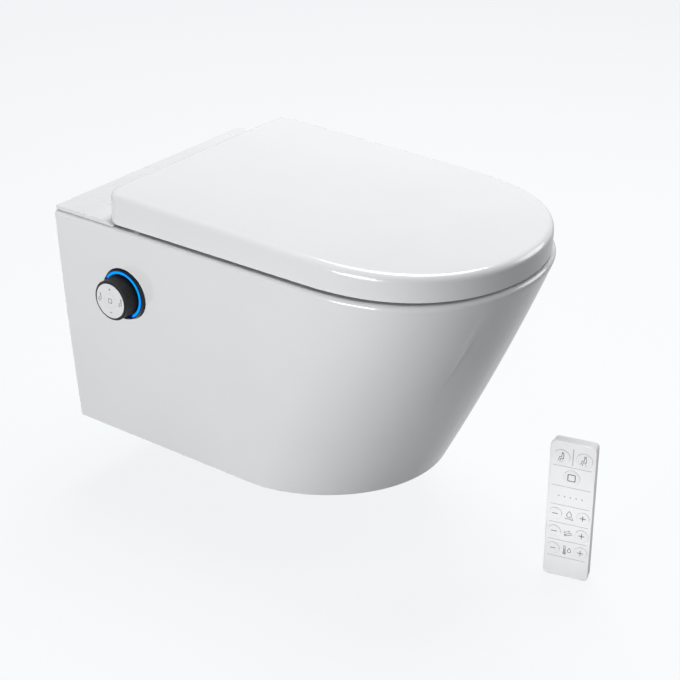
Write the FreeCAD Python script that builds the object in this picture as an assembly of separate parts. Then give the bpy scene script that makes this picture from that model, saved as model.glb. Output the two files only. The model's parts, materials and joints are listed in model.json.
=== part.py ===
import FreeCAD, Part

# Wall-hung toilet with a heated washing seat, a side knob and a handset.
# Millimetres. X runs across, -Y towards the user, +Z up.
# The origin is midway between the two wall bolts, on the wall's face.
import math
import os

V = FreeCAD.Vector
X_AXIS = V(1, 0, 0)
Y_AXIS = V(0, 1, 0)
Z_AXIS = V(0, 0, 1)
ZERO = V(0, 0, 0)
CUT = 1.0                        # how far a cutter runs past a face

# ---- wall connections -------------------------------------------------------
BOLT_SPACING = 180.0             # standard centres of the two wall bolts
BOLT_HOLE_R = 9.0                # hole through the ceramic
SLEEVE_BORE_R = 6.5              # plastic sleeve for an M12 stud
INLET_UP = 35.0                  # flush inlet above the bolts
OUTLET_DOWN = 100.0              # waste outlet below the bolts
INLET_R = 27.5                   # flush pipe socket, 55 mm
INLET_DEPTH = 60.0
INLET_CHANNEL_R = 24.0           # flush channel beyond the socket
OUTLET_R = 45.0                  # waste socket, 90 mm
OUTLET_DEPTH = 60.0
FLOOR_BELOW = 320.0              # finished floor below the bolts

# ---- ceramic pan ------------------------------------------------------------
RIM_Z = 95.0                     # ceramic top above the bolts
PAN_W = 370.0
PAN_L = 615.0
PAN_H = 318.0
PAN_SPREAD = 5.5                 # the pan's flanks stand this far outside the deck
PAN_ROUND = 6.0                  # rolled shoulder at the rim
SIDE_TAPER = 13.0                # each side draws in this much to the base, evenly
SIDE_BOW = 8.0                   # and this much more as a bow
FRONT_TAPER = 123.5
FRONT_BOW = 20.0
STRAIGHT_TOP = 411.0             # straight sides end here at the rim
STRAIGHT_BASE = 310.0            # and here at the base
PAN_FULL_TOP = 0.68              # fullness of the front at the rim and at the base
PAN_FULL_BASE = 0.34
NOSE_FLAT = 0.7                  # share of the width over which a front is nearly flat
PAN_LEVELS = 5                   # sections of the pan's loft

BOWL_BACK = 238.0                # rear edge of the bowl at the rim
BOWL_FRONT = 562.0
BOWL_W = 264.0
BOWL_DEPTH = 240.0
SUMP_BACK = 275.0                # rear and front of the bowl's floor
SUMP_FRONT = 365.0
SUMP_W = 84.0
BOWL_LEVELS = (0.12, 0.3, 0.5, 0.7, 0.85, 0.95, 1.0)

TRAP_R = 27.0
TRAP_DIP = 268.0                 # channel centre below the rim at its dip
TRAP_WEIR = 163.0                # and at its weir, which sets a 50 mm seal
TRAP_MOUTH_Y = 318.0
TRAP_MOUTH = 215.0
TRAP_DIP_Y = 262.0
TRAP_WEIR_Y = 190.0
TRAP_FALL_Y = 120.0

WELL_BACK = 22.0                 # service well under the deck cover
WELL_FRONT = 212.0
WELL_HALF = 158.0
WELL_DEPTH = 26.0
LEDGE = 5.0                      # ledge that carries the apron
BAY_INNER = 40.0                 # the two deep bays beside the inlet duct
BAY_BACK = 30.0
BAY_FRONT = 205.0
BAY_DEPTH = 130.0
BAY_ROUND = 5.0
SLOT_HALF = 70.0                 # slot through the bowl's rear edge
SLOT_DEPTH = 30.0
SLOT_FRONT = 264.0
POCKET_INNER = 62.0              # open hollows in the back, beside the trap
POCKET_OUTER = 150.0
POCKET_TOP = 150.0
POCKET_BASE = 295.0
POCKET_DEEP = 140.0
POCKET_ROUND = 14.0

# ---- deck cover -------------------------------------------------------------
DECK_L = 88.0                    # plate behind the lid
DECK_SIDE = 3.5                  # plate's side inside the pan's flank
DECK_T = 5.4
WING_L = 102.0                   # the plate's sides run on under the lid's heel
WING_GAP = 0.5
SEAL_T = 1.0
SEAL_IN = 0.8                    # seal's edge inside the plate's
APRON_T = 4.0
APRON_UP = 0.5                   # apron top above the ceramic
APRON_GAP = 0.5
DECK_EDGE = 0.8

# ---- lid and hinge ----------------------------------------------------------
LID_GAP = 3.0
LID_SIDE = 2.15                  # lid inside the pan's nominal sides
LID_END = 0.2                    # and inside its front
LID_W = PAN_W - 2 * LID_SIDE
LID_L = PAN_L - LID_END
LID_BACK = 86.4
LID_TOP_BACK = 46.9              # lid top above the ceramic, at its rear
LID_TOP_FRONT = 34.8
LID_WALL = 3.0
LID_ROUND = 10.0
LID_CORNER = 20.0
FRONT_FULL = 0.68                # fullness of the front of the lid and the seat
HINGE_Y = 105.0
HINGE_UP = 31.0
PIN_R = 5.0
PIN_FIT = 0.05
LUG_R = 9.0
SEAT_LUG_W = 23.0
LID_LUG_W = 17.0
LUG_GAP = 0.6
LID_SWEEP_R = 12.0               # what stays inside the lid's sweep

# ---- seat -------------------------------------------------------------------
SEAT_SIDE_GAP = 3.6              # between the seat and the lid's skirt
SEAT_BOTTOM = 5.0
SEAT_UNDER_LID = 5.0
SEAT_BACK = 131.5                # clear of the lid's heel as it swings
SEAT_SPLIT = 9.0                 # thickness of the lower shell
SEAT_WALL = 3.0
SEAT_ROUND = 7.0
OPENING_BACK = 264.0
OPENING_FRONT = 548.0
OPENING_W = 212.0
FOIL_T = 0.6
FOIL_INSET = 14.0
BUFFER_R = 9.0
REST_GAP = 0.3

# ---- fixed rear housing -----------------------------------------------------
HOUSING_HALF = 92.0
HOUSING_FRONT = 232.0
HOUSING_TOP_FRONT = 26.0
HOUSING_WALL = 3.0
HOUSING_ROUND = 6.0
HOUSING_BACK_OFF = 10.0          # rear face behind the hinge axis

# ---- washing wands, in a frame that lies along them -------------------------
WAND_ANGLE = 18.0
WAND_TIP_Y = 233.0
WAND_TIP_DOWN = 17.0
WAND_PITCH = 19.0                # between the two wands
WAND_R = 7.0
WAND_L = 128.0
WAND_BORE_R = 2.0
WAND_FIT = 0.06
TIP_L = 24.0
RACK_FROM = 36.0
RACK_W = 4.0
RACK_PITCH_UP = 9.2              # rack's pitch line above the wand's axis
GEAR_MODULE = 1.0
PINION_TEETH = 14
PINION_W = 5.0
RACK_TIP = 0.75
BACKLASH = 0.22
PRESSURE = 20.0
PINION_AT = 42.0                 # pinion's place behind the wand's tip
MOTOR_R = 10.0
MOTOR_L = 17.0
SHAFT_R = 1.5
CRADLE_HALF = 20.0
CRADLE_DEEP = 11.0
CHEEK_T = 2.5
GUIDE_FROM = 8.0
GUIDE_TO = 27.0

# ---- warm-air dryer ---------------------------------------------------------
DUCT_IN = 42.0
DUCT_OUT = 66.0
DUCT_TOP = 6.0
DUCT_BASE = 24.0
DUCT_WALL = 1.5
DUCT_DROP = 58.0
DUCT_BACK = 172.0
FLAP_T = 1.4
FLAP_PIN_R = 1.3
BLOWER_X = 112.0
BLOWER_Y = 158.0
BLOWER_TOP = 32.0
BLOWER_H = 26.0
BLOWER_R = 34.0
SPIRAL_GROWTH = 8.0
IMPELLER_R = 27.0
IMPELLER_H = 17.0
BLADES = 20
BLADE_T = 1.2

# ---- water and electrics in the bays ----------------------------------------
TRAY_T = 3.0
TRAY_RIM = 9.0
TRAY_GAP = 1.0
PUMP_R = 20.0
PUMP_L = 88.0
FITTING_OUT = 130.0              # across from the centre line to each fitting
FITTING_DOWN = 60.0
FITTING_POCKET_R = 23.0
FITTING_POCKET = 18.0
THREAD_R = 10.4                  # G 1/2 spigot
THREAD_L = 14.0
CABLE_R = 4.0

# ---- side knob --------------------------------------------------------------
KNOB_Y = 115.0
KNOB_DOWN = 91.0
KNOB_SEAT = 178.0                # spot face that the bezel stands on
BEZEL_R = 36.0
BEZEL_FACE_R = 34.3
BEZEL_FACE = 191.0
RING_IN = 28.9
RING_OUT = 33.0
RING_PROUD = 0.5
KNOB_R = 27.7
KNOB_CORE_R = 27.0
KNOB_RIBS = 60
KNOB_FRONT = 213.0
KNOB_BEAD = 3.0
FACE_R = 25.7
FACE_T = 3.0
HUB_R = 13.0
HUB_WALL = 2.5
STEM_R = 5.0
KNOB_HOLE_R = 15.0
KNOB_TRAVEL = 1.0

# ---- handset ----------------------------------------------------------------
REMOTE_X = 20.0
REMOTE_Y = 680.0
REMOTE_TURN = -76.0              # about +Z, from facing -Y
REMOTE_W = 60.0
REMOTE_H = 200.0
REMOTE_FRONT_T = 5.0
REMOTE_BACK_T = 14.0
REMOTE_INSET = 1.2
REMOTE_WALL = 1.8
REMOTE_CORNER = 7.0
REMOTE_EDGE = 1.0
FIELD_RIM = 1.6                  # fine raised rim round the front
FIELD_DEPTH = 0.3
BUTTON_R = 10.6                  # wash and stop keys
PAIR_R = 8.6                     # keys of the three paired rows
BUTTON_GAP = 0.35
BUTTON_PROUD = 0.5
BUTTON_FLANGE = 1.1
FLANGE_T = 1.0
DISH_EDGE = 1.0                  # flat rim round each key's dish
DISH_DEPTH = 0.6
WASH_ACROSS = 14.6               # keys' places across, from the centre line
PAIR_ACROSS = 18.2
WASH_DOWN = 22.0                 # keys' and lights' places below the handset's top
STOP_DOWN = 50.0
LED_DOWN = 79.0
PRESSURE_DOWN = 106.5
POSITION_DOWN = 133.0
WARMTH_DOWN = 159.0
LED_R = 1.1
LED_PITCH = 7.6
LED_COUNT = 5
BOARD_T = 1.6
CELL_R = 5.2
CELL_L = 44.5
DOOR_W = 40.0
DOOR_H = 62.0
DOOR_T = 1.8
DOOR_BASE = 66.0
BUTTONS = {
    "rear_wash_button": (-WASH_ACROSS, WASH_DOWN, BUTTON_R),
    "front_wash_button": (WASH_ACROSS, WASH_DOWN, BUTTON_R),
    "stop_button": (0.0, STOP_DOWN, BUTTON_R),
    "pressure_down_button": (-PAIR_ACROSS, PRESSURE_DOWN, PAIR_R),
    "pressure_up_button": (PAIR_ACROSS, PRESSURE_DOWN, PAIR_R),
    "position_back_button": (-PAIR_ACROSS, POSITION_DOWN, PAIR_R),
    "position_front_button": (PAIR_ACROSS, POSITION_DOWN, PAIR_R),
    "cooler_button": (-PAIR_ACROSS, WARMTH_DOWN, PAIR_R),
    "warmer_button": (PAIR_ACROSS, WARMTH_DOWN, PAIR_R),
}


# ---- helpers ----------------------------------------------------------------
def depth(value):
    """Height of a point this far below the ceramic's top."""
    return RIM_Z - value


def block(x, y, z):
    """A box between low and high pairs on each axis."""
    return Part.makeBox(x[1] - x[0], y[1] - y[0], z[1] - z[0], V(x[0], y[0], z[0]))


def rod(start, axis, radius, length):
    return Part.makeCylinder(radius, length, start, axis)


def pipe(start, axis, outer, inner, length):
    return rod(start, axis, outer, length).cut(rod(start, axis, inner, length))


def join(shapes):
    """One clean solid from pieces that overlap."""
    shapes = list(shapes)
    whole = shapes[0].multiFuse(shapes[1:]) if len(shapes) > 1 else shapes[0]
    return whole.removeSplitter()


def group(shapes):
    return Part.makeCompound(list(shapes))


def profile(points):
    """A closed straight-sided face through the points."""
    return Part.Face(Part.makePolygon(list(points) + [points[0]]))


def vertical_round(solid, radius):
    """Round the upright edges of a block."""
    upright = [e for e in solid.Edges if is_upright(e)]
    return solid.makeFillet(radius, upright)


def is_upright(edge):
    ends = [v.Point for v in edge.Vertexes]
    if len(ends) < 2:
        return False
    flat = math.hypot(ends[0].x - ends[1].x, ends[0].y - ends[1].y)
    return flat < 1e-6 and abs(ends[0].z - ends[1].z) > 1e-3


def top_edges(solid, level):
    """The edges that lie in a level top."""
    return [e for e in solid.Edges if e.BoundBox.ZMin > level - 0.01]


def mirrored(shape):
    """The same piece on the other side of the centre plane."""
    return shape.mirror(ZERO, X_AXIS)


def nose(half, straight, front, full, z):
    """Fifth-degree Bezier front of a D outline, from the left side round to the right.

    The outer poles lie straight ahead of the sides by a share of the nose's reach.
    The middle poles lie so far ahead that the curve's tip comes to the front.
    """
    reach = front - straight
    near = -straight - full * reach
    far = -straight - (1.6 - full / 2) * reach
    curve = Part.BezierCurve()
    curve.setPoles([V(-half, -straight, z), V(-half, near, z), V(-NOSE_FLAT * half, far, z),
                    V(NOSE_FLAT * half, far, z), V(half, near, z), V(half, -straight, z)])
    return curve.toShape()


def d_outline(half, back, straight, front, full, z, corner=0.0):
    """Closed D outline: flat rear, straight sides and a curved front."""
    left_back = V(-half, -back - corner, z)
    right_back = V(half, -back - corner, z)
    edges = [
        Part.makeLine(left_back, V(-half, -straight, z)),
        nose(half, straight, front, full, z),
        Part.makeLine(V(half, -straight, z), right_back),
    ]
    if corner:
        lean = corner * (1 - math.sqrt(0.5))
        right_end = V(half - corner, -back, z)
        left_end = V(-half + corner, -back, z)
        right_mid = V(half - lean, -back - lean, z)
        left_mid = V(-half + lean, -back - lean, z)
        edges.append(Part.Arc(right_back, right_mid, right_end).toShape())
        edges.append(Part.makeLine(right_end, left_end))
        edges.append(Part.Arc(left_end, left_mid, left_back).toShape())
    else:
        edges.append(Part.makeLine(right_back, left_back))
    return Part.Wire(edges)


# ---- ceramic pan ------------------------------------------------------------
def pan_half(level):
    return PAN_W / 2 + PAN_SPREAD - SIDE_TAPER * level - SIDE_BOW * level ** 2


def pan_section(level):
    """Outline of the pan at a share of its height below the rim, run on behind the wall."""
    front = PAN_L + PAN_SPREAD - FRONT_TAPER * level - FRONT_BOW * level ** 2
    straight = STRAIGHT_TOP + (STRAIGHT_BASE - STRAIGHT_TOP) * level
    full = PAN_FULL_TOP + (PAN_FULL_BASE - PAN_FULL_TOP) * level
    return d_outline(pan_half(level), -CUT, straight, front, full, depth(PAN_H * level))


def pan_body():
    """Tapering D-shaped body, flat against the wall, with a rolled shoulder round its rim."""
    levels = [i / (PAN_LEVELS - 1) for i in range(PAN_LEVELS)]
    body = Part.makeLoft([pan_section(level) for level in levels], True)
    body = body.cut(block((-PAN_W, PAN_W), (0, 2 * CUT), (depth(PAN_H + CUT), RIM_Z + CUT)))
    rim = [e for e in top_edges(body, RIM_Z) if e.BoundBox.YMin < -DECK_L]
    return body.makeFillet(PAN_ROUND, rim)


def bowl_section(share, z):
    """Oval of the bowl: it closes in slowly at first and fast near the floor."""
    swell = (1 - share ** 1.6) ** 0.8
    back = BOWL_BACK + (SUMP_BACK - BOWL_BACK) * share
    front = SUMP_FRONT + (BOWL_FRONT - SUMP_FRONT) * swell
    half = (SUMP_W + (BOWL_W - SUMP_W) * swell) / 2
    middle = (back + front) / 2
    oval = Part.Ellipse(V(0, -back, z), V(half, -middle, z), V(0, -middle, z))
    return Part.Wire(oval.toShape())


def bowl_cutter():
    sections = [bowl_section(0.0, RIM_Z + CUT), bowl_section(0.0, RIM_Z)]
    for share in BOWL_LEVELS:
        sections.append(bowl_section(share, depth(BOWL_DEPTH * share)))
    return Part.makeLoft(sections, True)


def trapway():
    """Water trap: down from the bowl's floor, over the weir and out to the wall."""
    points = [
        V(0, -TRAP_MOUTH_Y, depth(TRAP_MOUTH)),
        V(0, -TRAP_DIP_Y, depth(TRAP_DIP)),
        V(0, -TRAP_WEIR_Y, depth(TRAP_WEIR)),
        V(0, -TRAP_FALL_Y, -OUTLET_DOWN),
        V(0, CUT, -OUTLET_DOWN),
    ]
    parts = [Part.makeSphere(TRAP_R, p) for p in points[:-1]]
    for here, there in zip(points, points[1:]):
        run = there - here
        parts.append(rod(here, run, TRAP_R, run.Length))
    return join(parts)


def service_well():
    """Shallow well under the cover, its ledge, and a deep bay on each side."""
    lip = WELL_HALF + LEDGE
    ledge_down = APRON_T - APRON_UP
    ledge = block((-lip, lip), (-WELL_FRONT - LEDGE, -DECK_L + CUT),
                  (depth(ledge_down), RIM_Z + CUT))
    well = block((-WELL_HALF, WELL_HALF), (-WELL_FRONT, -WELL_BACK),
                 (depth(WELL_DEPTH), RIM_Z + CUT))
    bay = block((BAY_INNER, WELL_HALF), (-BAY_FRONT, -BAY_BACK),
                (depth(BAY_DEPTH), depth(WELL_DEPTH) + CUT))
    bay = vertical_round(bay, BAY_ROUND)
    slot = block((-SLOT_HALF, SLOT_HALF), (-SLOT_FRONT, -WELL_FRONT + CUT),
                 (depth(SLOT_DEPTH), RIM_Z + CUT))
    return [ledge, well, bay, mirrored(bay), slot]


def wall_side_cutters():
    """Bolt holes, sockets, fitting pockets and the open hollows of the back."""
    cutters = [
        rod(V(0, CUT, INLET_UP), -Y_AXIS, INLET_R, INLET_DEPTH + CUT),
        rod(V(0, 0, INLET_UP), -Y_AXIS, INLET_CHANNEL_R, BOWL_BACK + SUMP_W / 2),
        rod(V(0, CUT, -OUTLET_DOWN), -Y_AXIS, OUTLET_R, OUTLET_DEPTH + CUT),
    ]
    hollow = block((POCKET_INNER, POCKET_OUTER), (-POCKET_DEEP, CUT),
                   (depth(POCKET_BASE), depth(POCKET_TOP)))
    along = [e for e in hollow.Edges if abs(e.tangentAt(e.FirstParameter).y) > 0.9]
    hollow = hollow.makeFillet(POCKET_ROUND, along)
    cutters += [hollow, mirrored(hollow)]
    for side in (-1, 1):
        bolt = V(side * BOLT_SPACING / 2, CUT, 0)
        fitting = V(side * FITTING_OUT, CUT, depth(FITTING_DOWN))
        cutters.append(rod(bolt, -Y_AXIS, BOLT_HOLE_R, BAY_BACK + 2 * CUT))
        cutters.append(rod(fitting, -Y_AXIS, FITTING_POCKET_R, FITTING_POCKET + CUT))
        cutters.append(rod(fitting, -Y_AXIS, THREAD_R, BAY_BACK + 2 * CUT))
    return cutters


def knob_cutters():
    """Spot face and hole for the side knob."""
    at = V(-KNOB_SEAT, -KNOB_Y, depth(KNOB_DOWN))
    spot = rod(at, -X_AXIS, BEZEL_R + REST_GAP, PAN_W / 2 + 3 * PAN_SPREAD - KNOB_SEAT)
    hole = rod(at - X_AXIS * CUT, X_AXIS, KNOB_HOLE_R, KNOB_SEAT - WELL_HALF + 2 * CUT)
    return [spot, hole]


def ceramic_pan():
    cutters = [bowl_cutter(), trapway()] + service_well()
    cutters += wall_side_cutters() + knob_cutters()
    return pan_body().cut(cutters)


def fixing_sleeves():
    """Flanged sleeves that keep the steel studs off the ceramic."""
    sleeves = []
    for side in (-1, 1):
        at = V(side * BOLT_SPACING / 2, 0, 0)
        outer = rod(at, -Y_AXIS, BOLT_HOLE_R, BAY_BACK)
        flange = rod(at - Y_AXIS * BAY_BACK, -Y_AXIS, BOLT_HOLE_R + 4, 3.0)
        bore = rod(at + Y_AXIS * CUT, -Y_AXIS, SLEEVE_BORE_R, BAY_BACK + 5 * CUT)
        sleeves.append(outer.fuse(flange).cut(bore))
    return group(sleeves)


def flush_distributor():
    """Splitter in the inlet's mouth that sends the water round the bowl."""
    back = BOWL_BACK - 24.0
    radius = INLET_CHANNEL_R
    ring = pipe(V(0, -back, INLET_UP), -Y_AXIS, radius, radius - 2.5, 20.0)
    vane = block((-1.5, 1.5), (-back - 20.0, -back - 4.0),
                 (INLET_UP - radius + 1.0, INLET_UP + radius - 1.0))
    shelf = block((-radius + 1.0, radius - 1.0), (-back - 20.0, -back - 4.0),
                  (INLET_UP - 1.2, INLET_UP + 1.2))
    return join([ring, vane, shelf])


# ---- deck cover -------------------------------------------------------------
def deck_seal():
    """Dark strip between the cover and the ceramic."""
    half = PAN_W / 2 - SEAL_IN
    sheet = block((-half, half), (-WING_L + SEAL_IN, -SEAL_IN), (RIM_Z, RIM_Z + SEAL_T))
    lip = WELL_HALF + LEDGE
    window = block((-lip, lip), (-WING_L - CUT, -WELL_BACK + 4.0),
                   (RIM_Z - CUT, RIM_Z + SEAL_T + CUT))
    return sheet.cut(window)


def deck_plate(low):
    """Plate behind the lid, with a wing on each side that is hollowed for the lid's heel."""
    half = PAN_W / 2 + PAN_SPREAD - DECK_SIDE
    plate = block((-half, half), (-WING_L, 0), (low, low + DECK_T))
    plate = plate.makeFillet(DECK_EDGE, top_edges(plate, low + DECK_T))
    lip = WELL_HALF + LEDGE
    middle = block((-lip, lip), (-WING_L - CUT, -DECK_L), (low - CUT, low + 2 * DECK_T))
    swing = rod(hinge_point() - X_AXIS * PAN_W, X_AXIS, HINGE_UP - LID_GAP + WING_GAP, 2 * PAN_W)
    behind = block((-PAN_W, PAN_W), (-DECK_L, 0), (low - CUT, low + 2 * DECK_T))
    return plate.cut([middle, swing.cut(behind)])


def deck_cover():
    """Rear plate and the apron that runs flush under the lid."""
    low = RIM_Z + SEAL_T
    plate = deck_plate(low)
    lip = WELL_HALF + LEDGE - APRON_GAP
    apron = block((-lip, lip), (-WELL_FRONT - LEDGE + APRON_GAP, -WELL_BACK),
                  (depth(APRON_T - APRON_UP), RIM_Z + APRON_UP))
    step = block((-lip, lip), (-DECK_L, -WELL_BACK - 4.5),
                 (RIM_Z, RIM_Z + SEAL_T + CUT))
    inner = HOUSING_HALF - HOUSING_WALL - 14.0
    window = block((-inner, inner), (-WELL_FRONT - 2 * LEDGE, -HINGE_Y + CUT),
                   (depth(APRON_T + CUT), RIM_Z + CUT))
    back_trim = block((-lip - CUT, lip + CUT), (-DECK_L + CUT, -WELL_BACK + CUT),
                      (depth(APRON_T + CUT), RIM_Z))
    well_side = block((-WELL_HALF + 0.5, WELL_HALF - 0.5),
                      (-DECK_L + CUT, -WELL_BACK - 4.5),
                      (depth(APRON_T - APRON_UP), RIM_Z + CUT))
    apron = apron.cut(back_trim)
    return join([plate, apron, step, well_side]).cut(window)


# ---- rear housing and hinge -------------------------------------------------
def hinge_point():
    return V(0, -HINGE_Y, RIM_Z + HINGE_UP)


def housing_shape(inset, low):
    """Side profile of the rear housing, rounded over the hinge axis."""
    axis = hinge_point()
    radius = LID_SWEEP_R - inset
    back = axis.y + HOUSING_BACK_OFF - inset
    rise = math.sqrt(radius ** 2 - (back - axis.y) ** 2)
    slope = (LID_SWEEP_R + HINGE_UP - HOUSING_TOP_FRONT) / (HOUSING_FRONT - HINGE_Y)
    lean = math.atan(slope)
    top_end = axis + V(0, -radius * math.sin(lean), radius * math.cos(lean))
    front = -HOUSING_FRONT + inset
    front_top = top_end.z - (top_end.y - front) * slope
    half = HOUSING_HALF - inset
    crown = axis + V(0, radius * math.sin(0.35), radius * math.cos(0.35))
    edges = [
        Part.makeLine(V(-half, back, low), V(-half, back, axis.z + rise)),
        Part.Arc(V(-half, back, axis.z + rise), V(-half, crown.y, crown.z),
                 V(-half, top_end.y, top_end.z)).toShape(),
        Part.makeLine(V(-half, top_end.y, top_end.z), V(-half, front, front_top)),
        Part.makeLine(V(-half, front, front_top), V(-half, front, low)),
        Part.makeLine(V(-half, front, low), V(-half, back, low)),
    ]
    return Part.Face(Part.Wire(edges)).extrude(V(2 * half, 0, 0))


def rear_housing():
    """Moulded cover over the wands, with hinge bosses and the openings for air and water."""
    low = RIM_Z + APRON_UP
    outer = housing_shape(0.0, low)
    front_top = [e for e in outer.Edges if is_front_top(e)]
    outer = outer.makeFillet(HOUSING_ROUND, front_top)
    shell = outer.cut(housing_shape(HOUSING_WALL, low - CUT))
    panel_half = SLOT_HALF - 1.0
    panel = block((-panel_half, panel_half), (-HOUSING_FRONT, -HOUSING_FRONT + HOUSING_WALL),
                  (depth(SLOT_DEPTH - 0.5), low + HOUSING_ROUND))
    feet = block((-HOUSING_HALF, HOUSING_HALF),
                 (-HOUSING_FRONT, -WELL_FRONT - LEDGE - APRON_GAP), (RIM_Z, low + CUT))
    feet = feet.cut(block((-HOUSING_HALF + HOUSING_WALL, HOUSING_HALF - HOUSING_WALL),
                          (-HOUSING_FRONT + HOUSING_WALL, 0), (RIM_Z - CUT, low + 2 * CUT)))
    axis = hinge_point()
    bosses = []
    for side in (-1, 1):
        start = axis + X_AXIS * side * (HOUSING_HALF - 12.0)
        bosses.append(rod(start, X_AXIS * side, PIN_R + 3.5, 12.0))
    body = join([shell, panel, feet] + bosses)
    holes = [rod(axis - X_AXIS * (HOUSING_HALF + CUT), X_AXIS, PIN_R, 2 * (HOUSING_HALF + CUT))]
    for side in (-1, 1):
        holes.append(wand_passage(side))
    holes.append(block((DUCT_IN + 0.6, DUCT_OUT - 0.6),
                       (-HOUSING_FRONT - CUT, -HOUSING_FRONT + HOUSING_WALL + CUT),
                       (depth(DUCT_BASE - DUCT_WALL), depth(DUCT_TOP + 0.8))))
    body = body.cut(holes)
    return join([body] + flap_eyes())


def is_front_top(edge):
    box = edge.BoundBox
    flat = box.YLength < 0.01 and box.ZLength < 0.01
    return flat and box.YMax < -HOUSING_FRONT + 0.01 and box.ZMin > RIM_Z + HINGE_UP / 2


def lug_reach():
    """How far out the pins pass through both pairs of lugs."""
    return HOUSING_HALF + SEAT_LUG_W + LID_LUG_W + 3 * LUG_GAP + 1.5


def hinge_pins():
    """Steel pins: held in the housing, carrying the seat's lugs and then the lid's."""
    start = HOUSING_HALF - 30.0
    pins = []
    for side in (-1, 1):
        at = hinge_point() + X_AXIS * side * start
        pins.append(rod(at, X_AXIS * side, PIN_R, lug_reach() - start))
    return group(pins)


def damper(side):
    """Rotary soft-close damper on the inner end of a pin."""
    inner = HOUSING_HALF - 62.0
    outer = HOUSING_HALF - 13.0
    axis = hinge_point()
    radius = HOUSING_BACK_OFF - HOUSING_WALL - 0.2
    can = rod(axis + X_AXIS * side * inner, X_AXIS * side, radius, outer - inner)
    socket = rod(axis + X_AXIS * side * (HOUSING_HALF - 30.0), X_AXIS * side, PIN_R, 30.0)
    ear = block((side * inner - 3, side * inner + 3), (axis.y - 2 * radius, axis.y),
                (axis.z - 2.0, axis.z + 2.0))
    return join([can, ear]).cut(socket)


# ---- lid --------------------------------------------------------------------
def lid_slope():
    """Fall of the lid's top towards the front, in degrees."""
    return math.degrees(math.atan2(LID_TOP_BACK - LID_TOP_FRONT, LID_L - LID_BACK))


def lid_top_at(y):
    """Height of the lid's flat top above the ceramic at a distance from the wall."""
    share = (y - LID_BACK) / (LID_L - LID_BACK)
    return LID_TOP_BACK + (LID_TOP_FRONT - LID_TOP_BACK) * share


def lean_forward(shape):
    """Set a shape built under a level top at the origin beneath the lid's sloping top."""
    placed = shape.copy()
    placed.translate(V(0, 0, RIM_Z + LID_TOP_BACK))
    placed.rotate(V(0, -LID_BACK, RIM_Z + LID_TOP_BACK), X_AXIS, lid_slope())
    return placed


def slab_between(low, high):
    """A wide layer between two heights."""
    return block((-PAN_W, PAN_W), (-PAN_L - BEZEL_R, BEZEL_R), (low, high))


def lid_block(inset, low, lower, rounding):
    """D-shaped block under the sloping top, its top edge rounded."""
    outline = d_outline(LID_W / 2 - inset, LID_BACK + inset, STRAIGHT_TOP,
                        LID_L - inset, FRONT_FULL, -lower, LID_CORNER - inset)
    tall = Part.Face(outline).extrude(V(0, 0, -2 * LID_TOP_BACK))
    tall = tall.makeFillet(rounding, top_edges(tall, -lower))
    return lean_forward(tall).common(slab_between(low, low + 2 * LID_TOP_BACK))


def lid_shell():
    """Wrap-over lid: one moulding with a skirt all round, open at the rear middle."""
    low = RIM_Z + LID_GAP
    outer = lid_block(0.0, low, 0.0, LID_ROUND)
    inner = lid_block(LID_WALL, low - CUT, LID_WALL, LID_ROUND - LID_WALL)
    shell = outer.cut(inner)
    axis = hinge_point()
    heel = block((-LID_W, LID_W), (axis.y, 0), (low - CUT, axis.z))
    heel = heel.cut(rod(axis - X_AXIS * LID_W, X_AXIS, HINGE_UP - LID_GAP, 2 * LID_W))
    notch = block((-lug_reach(), lug_reach()), (-LID_BACK - LID_ROUND - CUT, 0),
                  (low - CUT, axis.z + LID_SWEEP_R + 0.5))
    shell = shell.cut([heel, notch])
    start = HOUSING_HALF + SEAT_LUG_W + 2 * LUG_GAP
    lugs = []
    for side in (-1, 1):
        at = axis + X_AXIS * side * start
        lug = rod(at, X_AXIS * side, LUG_R, LID_LUG_W)
        ends = sorted((side * start, side * (start + LID_LUG_W)))
        web = block(ends, (axis.y - LUG_R, axis.y + LUG_R),
                    (axis.z, RIM_Z + lid_top_at(HINGE_Y + LUG_R) - LID_WALL / 2))
        lugs += [lug, web]
    bore = rod(axis - X_AXIS * LID_W, X_AXIS, PIN_R + PIN_FIT, 2 * LID_W)
    body = join([shell] + lugs)
    through = body.common(block((-start - 2 * LID_LUG_W, start + 2 * LID_LUG_W),
                                (-LID_L, 0), (RIM_Z - CUT, RIM_Z + 2 * LID_TOP_BACK)))
    side_walls = body.cut(block((-start - 2 * LID_LUG_W, start + 2 * LID_LUG_W),
                                (-LID_L - CUT, 0), (RIM_Z - CUT, RIM_Z + 2 * LID_TOP_BACK)))
    return join([through.cut(bore), side_walls])


def lid_buffers():
    """Four soft pads that the closed lid rests on."""
    pads = []
    for y in (SEAT_BACK + 47.0, LID_L - 70.0):
        for side in (-1, 1):
            across = side * (LID_W / 2 - 48.0 if y < PAN_L / 2 else OPENING_W / 2 - 20.0)
            height = SEAT_UNDER_LID - REST_GAP
            pad = rod(V(across, -y, -LID_WALL - height), Z_AXIS, BUFFER_R / 1.5, height)
            pads.append(lean_forward(pad))
    return group(pads)


# ---- seat -------------------------------------------------------------------
def seat_half():
    return LID_W / 2 - LID_WALL - SEAT_SIDE_GAP


def seat_outline(inset, z):
    """Outer D of the seat with its rear corners rounded."""
    front = LID_L - LID_WALL - SEAT_SIDE_GAP
    return d_outline(seat_half() - inset, SEAT_BACK + inset, STRAIGHT_TOP, front - inset,
                     FRONT_FULL, z, LID_CORNER / 2)


def seat_opening(grow, low, height):
    """Oval hole of the seat, as a cutter."""
    middle = (OPENING_BACK + OPENING_FRONT) / 2
    length = (OPENING_FRONT - OPENING_BACK) / 2 + grow
    half = OPENING_W / 2 + grow
    oval = Part.Ellipse(V(0, -middle + length, low), V(half, -middle, low), V(0, -middle, low))
    return Part.Face(Part.Wire(oval.toShape())).extrude(V(0, 0, height))


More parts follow.
